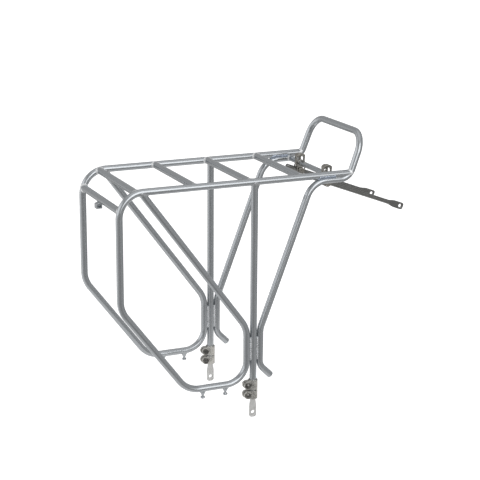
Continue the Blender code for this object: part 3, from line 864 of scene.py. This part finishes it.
def crossbar_fillets(side, sign):
    """Round each crossbar's end, and round the rail's front end at the riser."""
    y = sign * SIDE_Y
    others = {
        "deck_crossbar_3": [Line([(0, y, LEG_END_Z), (0, y, 0)])],
        "stay_crossbar": [HOOP_LINE],
    }
    shells = []
    for index, (name, (x, z, radius)) in enumerate(BARS.items()):
        lines = [LOOP_LINES[side]] + others.get(name, [])
        shells.append(fillet(vec(x, y, z), vec(0, -sign, 0), radius, lines,
                             seed=3.1 * index + sign, grow=2.0 if radius == TUBE_R else 1.7,
                             lift=0.45, ripple=0.2))
    on_side = sign * HOOP[:, 1] > SIDE_Y - 6
    riser = HOOP[on_side & (HOOP[:, 2] > -2.5) & (HOOP[:, 2] < 30)]
    shells.append(fillet(vec(RAIL_END_X, y, 0), -X, TUBE_R, [Line(riser)],
                         seed=91 + sign, reach=14.0, grow=1.8, lift=0.5, ripple=0.25))
    # these fillets take the nearly white paint, a painted highlight
    frame_piece(side + "_crossbar_fillets", shells, FILLET_HIGHLIGHT_PAINT)


def rail_fillets(side, sign):
    """Round the tops of the leg and of the slanted back leg."""
    y = sign * SIDE_Y
    rail = Line([(DECK_FRONT_X, y, 0), (REAR_BEND_X, y, 0)])
    bar = Line([(DECK_BARS[2], -SIDE_Y, 0), (DECK_BARS[2], SIDE_Y, 0)])
    rail_and_bend = Line(LOOPS[side][:16])
    frame_piece(side + "_rail_fillets", [
        fillet(vec(0, y, 0), -Z, TUBE_R, [rail, bar], seed=20 + sign),
        fillet(vec(BACK_FOOT_X, y, 0), vec(1.0, 0, -BACK_SLOPE), TUBE_R, [rail_and_bend],
               seed=27 + sign, grow=2.2, reach=20.0),
    ], FILLER_HIGHLIGHT_PAINT)


def upright_beads(side, sign):
    """Down both valleys between the three uprights, on either face."""
    y = sign * SIDE_Y
    low_z, high_z = UPRIGHT_BEAD_Z

    def upright(x):
        return lambda share: vec(x, y, low_z + (high_z - low_z) * share)

    beads = []
    for out in (-1.0, 1.0):
        for x in (-CLUSTER_PITCH, 0.0):
            beads.append(seam(
                high_z - low_z, upright(x), upright(x + CLUSTER_PITCH), vec(0, out, 0),
                angles=(44, 44), lift=4.1, seed=5.0 * x + out + sign, lump=0.65, pitch=3.1,
                step=0.4, taper=1.4,
            ))
    frame_piece(side + "_upright_beads", beads, FILLER_HIGHLIGHT_PAINT)


def run_seams(sign, table):
    y = sign * SIDE_Y
    bend_r = HOOP_RADII[2]
    shells = []
    for out in (-1.0, 1.0):
        for start, end, rail_angle, run_angle, lift, lump, pitch, seed in table:
            def rail_axis(share):
                return vec(start + (end - start) * share, y, 0)

            def run_axis(share):
                x = start + (end - start) * share
                past = max(0.0, RUN_BEND_X - x)
                return vec(x, y, HOOP_RUN_Z - (bend_r - math.sqrt(bend_r ** 2 - past * past)))

            shells.append(seam(
                end - start, rail_axis, run_axis, vec(0, out, 0),
                angles=(rail_angle, run_angle), lift=lift, seed=seed + out + sign, lump=lump,
                pitch=pitch, step=0.35, taper=1.6,
            ))
    return shells


def joint_filler():
    for side, sign in SIDES:
        crossbar_fillets(side, sign)
        rail_fillets(side, sign)
        upright_beads(side, sign)
        frame_piece(side + "_run_beads", run_seams(sign, RUN_BEADS), BLUE_WELD)
        frame_piece(side + "_run_fill", run_seams(sign, RUN_FILLS), SILVER)


# ----------------------------------------------------- strap pegs, lamp socket
PEGS = (("front", -43.62), ("rear", -78.56))
PEG_R = 3.9

# Turned outline of a peg: radius, height from the lower run's underside
PEG_PROFILE = (
    (3.95, 3.0), (3.95, 0.9), (3.9, -0.1), (3.6, -1.0), (3.05, -2.2), (2.45, -3.4),
    (1.9, -4.5), (1.58, -5.3), (1.5, -5.8), (1.72, -6.2), (2.35, -6.55), (3.0, -7.05),
    (3.36, -7.6), (3.45, -8.15), (3.33, -8.75), (2.95, -9.35), (2.3, -9.85), (1.4, -10.2),
    (0.5, -10.38), (0.02, -10.4),
)


def strap_pegs():
    for side, sign in SIDES:
        y = sign * SIDE_Y
        for label, x in PEGS:
            base = vec(x, y, PANNIER_Z - TUBE_R - GAP)
            shells = [
                lathe(PEG_PROFILE, base, Z, 40),
                fillet(vec(x, y, PANNIER_Z), -Z, PEG_R, [LOOP_LINES[side]],
                       seed=60 + x, grow=1.0, lift=0.25, reach=9.0),
            ]
            frame_piece(f"{side}_strap_peg_{label}", shells, SILVER, f"{side}_peg_{label}",
                        sharp=50)


def lamp_socket():
    """A hollow box under the rear bar with its upper back edge sloped off, and its beads."""
    bar = vec(REAR_BAR_X, 0, REAR_BAR_Z)
    socket = loose(block(bar + vec(-SOCKET_BACK + 0.06, -SOCKET_HALF, -SOCKET_BOTTOM),
                         bar + vec(0, SOCKET_HALF, -SOCKET_TOP)))
    carve(socket, block(bar + vec(-7.0, -9, -10.6), bar + vec(-1.6, SOCKET_HALF - 1.5, -6.2)))
    carve(socket, rod(bar - Y * 30, bar + Y * 30, 4.6))
    slope = tilted(math.radians(-24))
    carve(socket, tilted_block((-8, -9, 0), (8, 9, 4), bar + vec(-8.5, 0, -5.4), *slope))
    frame_piece("lamp_socket", softened(socket, voxel=0.22, rounds=5, keep=0.6), SILVER,
                "light_bracket", sharp=70)

    bead_path_r = 5.05            # follows the bar's skin
    beads = []
    for out in (-1.0, 1.0):
        line = [
            bar + vec(math.cos(angle) * bead_path_r, out * SOCKET_HALF,
                      math.sin(angle) * bead_path_r)
            for angle in np.radians(np.linspace(219, 268, 15))
        ]
        beads.append(tube(np.array(line), 0.8, ("dome", "dome"), sides=14, oval=0.0))
    frame_piece("lamp_socket_beads", beads, FILLER_HIGHLIGHT_PAINT)


# --------------------------------------------------- pressed rods and fasteners
HEX_SIDES = 96
HEX_FLAT_R = HEAD_R * math.cos(math.pi / 6)
HEX_TOP_R = HEX_FLAT_R * 0.955
THREAD_PITCH = 0.8
THREAD_DEPTH = 0.28


def pressed_section(radius, width, thick, blend, sides=48):
    """Outline of a rod being pressed flat, from a circle (0) to a bar with bulging edges (1)."""
    power = 0.22
    outline = []
    for k in range(sides):
        angle = 2 * math.pi * k / sides
        cos, sin = math.cos(angle), math.sin(angle)
        flat_wide = math.copysign(abs(cos) ** power, cos) * width / 2
        flat_thin = math.copysign(abs(sin) ** power, sin) * thick / 2
        outline.append((radius * cos * (1 - blend) + flat_wide * blend,
                        radius * sin * (1 - blend) + flat_thin * blend))
    return outline


def pressed_rod(place, along, wide, length, radius, width, flat_from, hole_at, hole_r):
    """A round rod whose end is pressed across y into a round-cornered eye with a hole."""
    # stations: distance, share of the radius, flatness, share of the width
    stations = [(0.0, 0.86, 0.0, 1.0), (0.25, 0.95, 0.0, 1.0), (0.6, 1.0, 0.0, 1.0)]
    swell_from = flat_from - SWELL
    for distance in np.arange(8.0, swell_from, 14.0):
        stations.append((distance, 1.0, 0.0, 1.0))
    for k in range(17):
        stations.append((swell_from + SWELL * k / 16, 1.0, eased(k / 16), 1.0))
    for distance in np.linspace(flat_from + 1.0, length - EYE_CORNER, 7)[:-1]:
        stations.append((distance, 1.0, 1.0, 1.0))
    for angle in np.radians(np.linspace(0, 84, 12)):
        narrow = 1 - 2 * EYE_CORNER * (1 - math.cos(angle)) / width
        stations.append((length - EYE_CORNER * (1 - math.sin(angle)), 1.0, 1.0, narrow))
    rings = []
    for distance, scale, blend, narrow in stations:
        edge = min(1.0, max(0.0, (length - distance) / 0.5))
        section = pressed_section(radius * scale, width * narrow,
                                  BLADE_T * (0.8 + 0.2 * edge), blend)
        rings.append([place + along * distance + wide * across + Y * deep
                      for across, deep in section])
    obj = loose(ring_skin(rings))
    face = BLADE_T / 2
    half = [(hole_r + 0.75, -BLADE_T), (hole_r + 0.75, -face - 0.35), (hole_r + 0.4, -face),
            (hole_r, -face + 0.4)]
    mirrored = [(hole, -height) for hole, height in reversed(half)]
    carve(obj, lathe(half + mirrored, place + along * hole_at, Y, 48))
    return taken(obj)


def hex_rings(base, axis, radials, height):
    """A hexagon's wall with rounded corners that are turned away at its ends."""
    wall = []
    for k in range(HEX_SIDES):
        sector = (2 * math.pi * k / HEX_SIDES + math.pi / 6) % (math.pi / 3) - math.pi / 6
        wall.append(HEAD_R * min(math.cos(math.pi / 6) / math.cos(sector), 0.985))
    # height and the largest radius there
    levels = ((0.0, HEX_FLAT_R * 0.97), (0.0, HEX_FLAT_R), (0.28, HEAD_R),
              (height - 0.42, HEAD_R), (height - 0.08, HEX_FLAT_R * 0.985), (height, HEX_TOP_R))
    return [base + axis * level + radials * np.minimum(wall, limit)[:, None]
            for level, limit in levels]


def hex_head(base, axis, start):
    """A hexagon head with a domed top, one corner turned towards start."""
    radials = spokes(*crosswise(axis, start), HEX_SIDES)
    height = HEAD_H - HEAD_DOME
    rings = hex_rings(base, axis, radials, height)
    for share in (0.8, 0.6, 0.4, 0.2, 0.03):
        level = height + HEAD_DOME * (1 - share * share)
        rings.append(base + axis * level + radials * (HEX_TOP_R * share))
    return ring_skin(rings)


def hex_nut(base, axis, start, bore):
    """A hexagon nut with a bored hole, one corner turned towards start."""
    radials = spokes(*crosswise(axis, start), HEX_SIDES)
    chamfer = 0.35
    rings = hex_rings(base, axis, radials, NUT_H)[1:]
    for level, radius in ((NUT_H, bore + chamfer), (NUT_H - chamfer, bore), (chamfer, bore),
                          (0.0, bore + chamfer)):
        rings.append(base + axis * level + radials * radius)
    return torus_skin(rings)


def threaded(base, axis, radius, length, sides=40, tip=0.5):
    """A threaded shank: rings that rise along a helix, with a chamfered tip."""
    radials = spokes(*crosswise(axis), sides)
    rings = []
    for height in np.arange(0.0, length + 1e-9, THREAD_PITCH / 6):
        rest = length - height
        limit = radius - 0.75 + rest * 1.2 if rest < tip else radius
        ring = []
        for k, radial in enumerate(radials):
            phase = (height / THREAD_PITCH - k / sides) % 1.0
            groove = abs(phase - 0.5) * 2
            reach = min(radius - THREAD_DEPTH * (1 - groove), limit)
            ring.append(base + axis * height + radial * reach)
        rings.append(ring)
    return ring_skin(rings)


# ------------------------------------------------------------------ the feet
def clamp_bands(side, sign):
    """Two bands with lugs, cast in one piece and split between the bands except in front."""
    y = sign * SIDE_Y
    face = LUG_FACE
    clamp = loose(rod((0, y, CLAMP_BOTTOM_Z), (0, y, CLAMP_TOP_Z), CLAMP_R, 72))
    for _, bolt_z, _ in CLAMP_BOLTS:
        carve(clamp, block((LUG_ROUND_X - 0.1, y - face, bolt_z - LUG_ROUND),
                           (0, y + face, bolt_z + LUG_ROUND)), "UNION")
        carve(clamp, rod((LUG_ROUND_X, y - face - 0.01, bolt_z),
                         (LUG_ROUND_X, y + face + 0.01, bolt_z), LUG_ROUND, 64), "UNION")
    below, above = CLAMP_BOTTOM_Z - 4, CLAMP_TOP_Z + 4
    carve(clamp, rod((0, y, below), (0, y, above), TUBE_R + 0.22, 72))
    carve(clamp, block((-30, y - LUG_GAP / 2, below), (0, y + LUG_GAP / 2, above)))
    carve(clamp, block((-30, y - 12, CLAMP_SPLIT_Z - CLAMP_SPLIT / 2),
                       (3.2, y + 12, CLAMP_SPLIT_Z + CLAMP_SPLIT / 2)))
    for _, bolt_z, _ in CLAMP_BOLTS:
        carve(clamp, rod((CLAMP_BOLT_X, y - 15, bolt_z), (CLAMP_BOLT_X, y + 15, bolt_z),
                         BOLT_R + 0.25, 40))
    piece(side + "_clamp_bands", softened(clamp, voxel=0.24, rounds=5, keep=0.5),
          side + "_foot_clamp", CAST, side + "_leg_clamp", sharp=80)


def clamp_bolts(side, sign):
    """Bolts through the lugs, heads outward and nuts inward."""
    body = side + "_foot_clamp"
    out = vec(0, sign, 0)
    seat = out * (LUG_FACE + GAP * 0.3)
    for label, bolt_z, turn in CLAMP_BOLTS:
        centre = vec(CLAMP_BOLT_X, sign * SIDE_Y, bolt_z)
        head = hex_head(centre + seat, out, vec(math.cos(turn), 0, math.sin(turn)))
        shank = threaded(centre + out * (LUG_FACE + GAP), -out, BOLT_R - 0.05,
                         2 * LUG_FACE + 2 * GAP + NUT_H + 0.9)
        piece(f"{side}_hex_bolt_{label}", [head, shank], body, BOLT,
              f"{side}_clamp_bolt_{label}", sharp=35)
        nut_turn = turn + 0.5
        nut = hex_nut(centre - seat, -out, vec(math.cos(nut_turn), 0, math.sin(nut_turn)),
                      bore=BOLT_R + 0.02)
        piece(f"{side}_hex_nut_{label}", [nut], body, BOLT,
              f"{side}_clamp_nut_{label}", sharp=35)


def foot_blade(side, sign):
    top = vec(0, sign * SIDE_Y, FOOT_ROD_TOP_Z)
    mesh = pressed_rod(
        top, -Z, X, length=FOOT_ROD_TOP_Z - FOOT_BOTTOM_Z, radius=FOOT_ROD_R,
        width=FOOT_BLADE_W, flat_from=FOOT_ROD_TOP_Z - FOOT_FLAT_Z,
        hole_at=FOOT_ROD_TOP_Z - FOOT_HOLE_Z, hole_r=FOOT_HOLE_R,
    )
    piece(side + "_foot_blade", mesh, side + "_foot", BLADE, side + "_foot_rod",
          sharp=50)


# ----------------------------------------------------------------- the stays
AHEAD, UP = tilted(STAY_PITCH)


def link_outline(half, low, top, corner):
    """A loop in the strap's own plane, as (x, z) from the bar's axis.

    half is its half width beside the bar, low that at the barrel.
    """
    bottom = [(low * math.cos(angle), -BARREL_DROP + low * math.sin(angle))
              for angle in np.linspace(math.pi, 2 * math.pi, 33)]
    front = []
    for z in np.linspace(-BARREL_DROP, top - corner, 16)[1:-1]:
        front.append((low + (half - low) * eased((z + BARREL_DROP) / 8.0), z))
    for angle in np.linspace(0, math.pi / 2, 15):
        front.append((half - corner + corner * math.cos(angle),
                      top - corner + corner * math.sin(angle)))
    return bottom + front + [(-x, z) for x, z in reversed(front)]


def strap(side, centre, hub):
    """The band round bar and barrel, slim beside the bar and wide at its crown and barrel."""
    outer = link_outline(LINK_IN + LINK_WALL, LINK_LOW + LINK_WALL, LINK_CROWN + LINK_WALL, 6.5)
    inner = link_outline(LINK_IN, LINK_LOW, LINK_BOSS, 3.6)
    rings = []
    for (outer_x, outer_z), (inner_x, inner_z) in zip(outer, inner):
        wide = eased((inner_z - 6.2) / 3.2) + eased((-1.0 - inner_z) / 3.0)
        half = LINK_SLIM + (LINK_HALF - LINK_SLIM) * wide
        rings.append([
            centre + vec(outer_x, -half, outer_z), centre + vec(outer_x, half, outer_z),
            centre + vec(inner_x, half, inner_z), centre + vec(inner_x, -half, inner_z),
        ])
    obj = loose(torus_skin(rings))
    carve(obj, rod(centre + Z * 8, centre + Z * 20, STAY_SCREW_R + 0.25, 40))
    carve(obj, tilted_block((-15, -3.55, -5.9), (15, 3.55, 5.9), hub, AHEAD, UP))
    piece(side + "_strap", softened(obj, voxel=0.2, rounds=4, keep=0.55),
          side + "_stay_clamp", STRAP, side + "_stay_link", sharp=80)


def set_screw(side, centre):
    """Down through the strap's crown onto the bar, with a six-sided socket in its top."""
    low = STAY_BAR_R + 0.1
    high = LINK_CROWN + LINK_WALL + 0.6
    pin = loose(threaded(centre + Z * low, Z, STAY_SCREW_R, high - low, sides=48, tip=0.3))
    carve(pin, rod(centre + Z * (LINK_CROWN - 1.2), centre + Z * 20, 1.3, 6))
    piece(side + "_set_screw", taken(pin), side + "_stay_clamp", SADDLE,
          side + "_stay_screw", sharp=35)


def saddle(side, centre, hub):
    """A sleeve on the bar, hollowed below for the barrel and for the stay's swing."""
    half = SADDLE_HALF
    profile = [(SADDLE_R - 0.3, -half), (SADDLE_R, 0.3 - half), (SADDLE_R, half - 0.3),
               (SADDLE_R - 0.3, half)]
    obj = loose(lathe(profile, centre, Y, 56))
    carve(obj, block(centre + vec(-5.3, -half, -6.9), centre + vec(5.3, half, 0)), "UNION")
    carve(obj, rod(centre - Y * 8, centre + Y * 8, STAY_BAR_R + 0.2, 56))
    carve(obj, rod(hub - Y * 9, hub + Y * 9, BARREL_R + 0.3, 56))
    for pitch in (STAY_PITCH - STAY_TILT, STAY_PITCH, STAY_PITCH + STAY_TILT):
        ahead, _ = tilted(pitch)
        carve(obj, rod(hub - ahead * 14, hub + ahead * 14, STAY_ROD_R + 0.3, 40))
    carve(obj, rod(centre + Z * 1, centre + Z * 9, STAY_SCREW_R - 0.05, 32))
    piece(side + "_saddle", softened(obj, voxel=0.2, rounds=2, keep=0.6),
          side + "_stay_clamp", SADDLE, sharp=60)


def barrel(side, hub):
    """The cross pin that the stay passes through."""
    half = [(3.6, -BARREL_HALF), (BARREL_R - 0.7, -BARREL_HALF),
            (BARREL_R - 0.2, -BARREL_HALF + 0.25), (BARREL_R, -BARREL_HALF + 0.8)]
    mirrored = [(radius, -height) for radius, height in reversed(half)]
    obj = loose(lathe(half + mirrored, hub, Y, 64))
    carve(obj, rod(hub - AHEAD * 12, hub + AHEAD * 12, STAY_ROD_R + 0.2))
    piece(side + "_barrel", softened(obj, voxel=0.2, rounds=2, keep=0.5),
          side + "_stay_swivel", STRAP, side + "_stay_barrel", sharp=60)


def stay_bar(side, hub):
    hole_at = STAY_HOLE - STAY_BACK
    mesh = pressed_rod(
        hub + AHEAD * STAY_BACK, AHEAD, UP, length=STAY_TIP - STAY_BACK - 0.12,
        radius=STAY_ROD_R, width=STAY_EYE_W, flat_from=hole_at - STAY_FLAT,
        hole_at=hole_at, hole_r=STAY_EYE_HOLE_R,
    )
    piece(side + "_stay_bar", mesh, side + "_stay_rod", ROD, side + "_stay",
          sharp=50)


def stay(side, sign):
    centre = vec(STAY_BAR_X, sign * STAY_Y, STAY_BAR_Z)
    hub = centre - Z * BARREL_DROP
    strap(side, centre, hub)
    set_screw(side, centre)
    saddle(side, centre, hub)
    barrel(side, hub)
    stay_bar(side, hub)


# ---------------------------------------------------- floor, camera and light
FLOOR_Z = -0.0365                 # metres; room for the feet when they are drawn out
FLOOR_GLOW = 0.66

# The floor as reflections see it, a glow in place of a lit table: its brightness, a painted
# pool of light close to the rack within half sizes in metres, and painted light and shade
# patches (heading, half width and softness in degrees, strength)
TABLE = 0.39
PAINTED_POOL = 0.34
PAINTED_POOL_HALF_X = 0.34
PAINTED_POOL_HALF_Y = 0.20
PAINTED_POOL_SOFT = 0.2
PAINTED_FLOOR_PATCHES = ((153, 30, 34, 0.50), (247, 24, 30, -0.12), (5, 25, 30, -0.10))

CAMERA_AT = vec(-812.464, -1847.34, 447.47)     # rack coordinates
AZIMUTH = math.radians(-23.152)
ELEVATION = math.radians(15.859)
ROLL = math.radians(0.153)
SENSOR_WIDTH = 36.0
LENS = 107.496675
LENS_SHIFT = (0.0471458333, 0.0298958333)       # in shares of the frame's width

# Soft panels round the rack: azimuth, half width, elevation, half height, softness
# (all in degrees) and strength over the dim room
AMBIENT = 0.40
PANELS = (
    (-84, 24, 24, 26, 11, 1.50),
    (167, 40, 8, 26, 20, 0.78),
    (-20, 180, 78, 22, 20, 0.30),
    (8, 12, 6, 18, 14, 0.10),
)
BACKDROP = 1.06                   # the room's brightness as the camera sees it


def floor_material():
    """Pale paper to the camera; in reflections a glow with a painted pool and painted patches of
    light.
    """
    material, tree, shader = nodes_of("pale_floor")
    grain = noise_of(tree, metre_coords(tree), scale=60.0, detail=3.0)
    share = ramp(tree, grain, span=(0.3, 0.7), onto=(0.0, 1.0))
    pale = mixed(tree, share, (0.93, 0.93, 0.93), (0.95, 0.95, 0.95))
    feed(tree, shader, {"Base Color": pale, "Roughness": 0.9})
    glow = add(tree, "ShaderNodeEmission", {"Strength": FLOOR_GLOW})
    seen = add(tree, "ShaderNodeAddShader", {0: shader.outputs[0], 1: glow.outputs[0]})

    # painted pool of light: extra glow on the floor close under the rack
    spot = add(tree, "ShaderNodeNewGeometry").outputs["Position"]
    pool_mask = combined(
        tree, "MULTIPLY",
        window(tree, facing(tree, spot, (1, 0, 0)), PAINTED_POOL_HALF_X, PAINTED_POOL_SOFT),
        window(tree, facing(tree, spot, (0, 1, 0)), PAINTED_POOL_HALF_Y, PAINTED_POOL_SOFT),
    )
    painted_floor_glow = combined(tree, "ADD", TABLE, combined(tree, "MULTIPLY", pool_mask, PAINTED_POOL))
    away = combined(tree, "SUBTRACT", 1.0, pool_mask)
    # painted lighter and darker patches of the floor by heading, outside the pool
    for heading, half_width, soft, strength in PAINTED_FLOOR_PATCHES:
        patch = window(tree, bearing(tree, spot, heading), math.radians(half_width),
                       math.radians(soft))
        patch = combined(tree, "MULTIPLY", patch, away)
        painted_floor_glow = combined(tree, "ADD", painted_floor_glow, combined(tree, "MULTIPLY", patch, strength))
    table = add(tree, "ShaderNodeEmission", {"Strength": painted_floor_glow})
    camera_ray = add(tree, "ShaderNodeLightPath").outputs["Is Camera Ray"]
    choose = add(tree, "ShaderNodeMixShader",
                 {0: camera_ray, 1: table.outputs[0], 2: seen.outputs[0]})
    feed(tree, tree.nodes["Material Output"], {"Surface": choose.outputs[0]})
    return material


def build_floor():
    mesh = bpy.data.meshes.new("floor")
    bm = bmesh.new()
    bmesh.ops.create_grid(bm, x_segments=1, y_segments=1, size=20.0)
    bm.to_mesh(mesh)
    bm.free()
    floor = bpy.data.objects.new("floor", mesh)
    bpy.context.scene.collection.objects.link(floor)
    floor.location.z = FLOOR_Z
    mesh.materials.append(floor_material())


def build_camera():
    data = bpy.data.cameras.new("camera")
    camera = bpy.data.objects.new("camera", data)
    bpy.context.scene.collection.objects.link(camera)
    back = vec(math.sin(AZIMUTH) * math.cos(ELEVATION), -math.cos(AZIMUTH) * math.cos(ELEVATION),
               math.sin(ELEVATION))
    level = vec(math.cos(AZIMUTH), math.sin(AZIMUTH), 0)
    rise = np.cross(back, level)
    right = math.cos(ROLL) * level + math.sin(ROLL) * rise
    upward = -math.sin(ROLL) * level + math.cos(ROLL) * rise
    placing = np.eye(4)
    placing[:3] = np.column_stack((right, upward, back, (CAMERA_AT + ORIGIN) * MM))
    camera.matrix_world = Matrix(placing.tolist())
    data.sensor_width = SENSOR_WIDTH
    data.lens = LENS
    data.shift_x, data.shift_y = LENS_SHIFT
    data.clip_end = 100.0
    bpy.context.scene.camera = camera


def build_world():
    """Light comes from the room alone; the camera itself sees white behind the rack."""
    world = bpy.data.worlds.new("studio")
    bpy.context.scene.world = world
    world.use_nodes = True
    tree = world.node_tree
    view = add(tree, "ShaderNodeTexCoord").outputs["Generated"]
    rise_angle = combined(tree, "ARCSINE", facing(tree, view, (0, 0, 1)))
    total = AMBIENT
    for around, half_width, elevation, half_height, soft, strength in PANELS:
        height = combined(tree, "SUBTRACT", rise_angle, math.radians(elevation))
        shape = window(tree, height, math.radians(half_height), math.radians(soft))
        if half_width < 180:
            turned = window(tree, bearing(tree, view, around), math.radians(half_width),
                            math.radians(soft))
            shape = combined(tree, "MULTIPLY", shape, turned)
        total = combined(tree, "ADD", total, combined(tree, "MULTIPLY", shape, strength))
    camera_ray = add(tree, "ShaderNodeLightPath").outputs["Is Camera Ray"]
    seen = add(tree, "ShaderNodeMix", {0: camera_ray, 2: total, 3: BACKDROP}, data_type="FLOAT")
    feed(tree, tree.nodes["Background"],
         {"Strength": seen.outputs[0], "Color": (0.985, 0.99, 1.0)})


# -------------------------------------------------------------------- build
frame_tubes()
joint_filler()
strap_pegs()
lamp_socket()
for side, sign in SIDES:
    clamp_bands(side, sign)
    clamp_bolts(side, sign)
    foot_blade(side, sign)
for side, sign in SIDES:
    stay(side, sign)
build_floor()
build_camera()
build_world()
bpy.context.scene.view_settings.view_transform = "Standard"
bpy.context.scene.view_settings.look = "None"
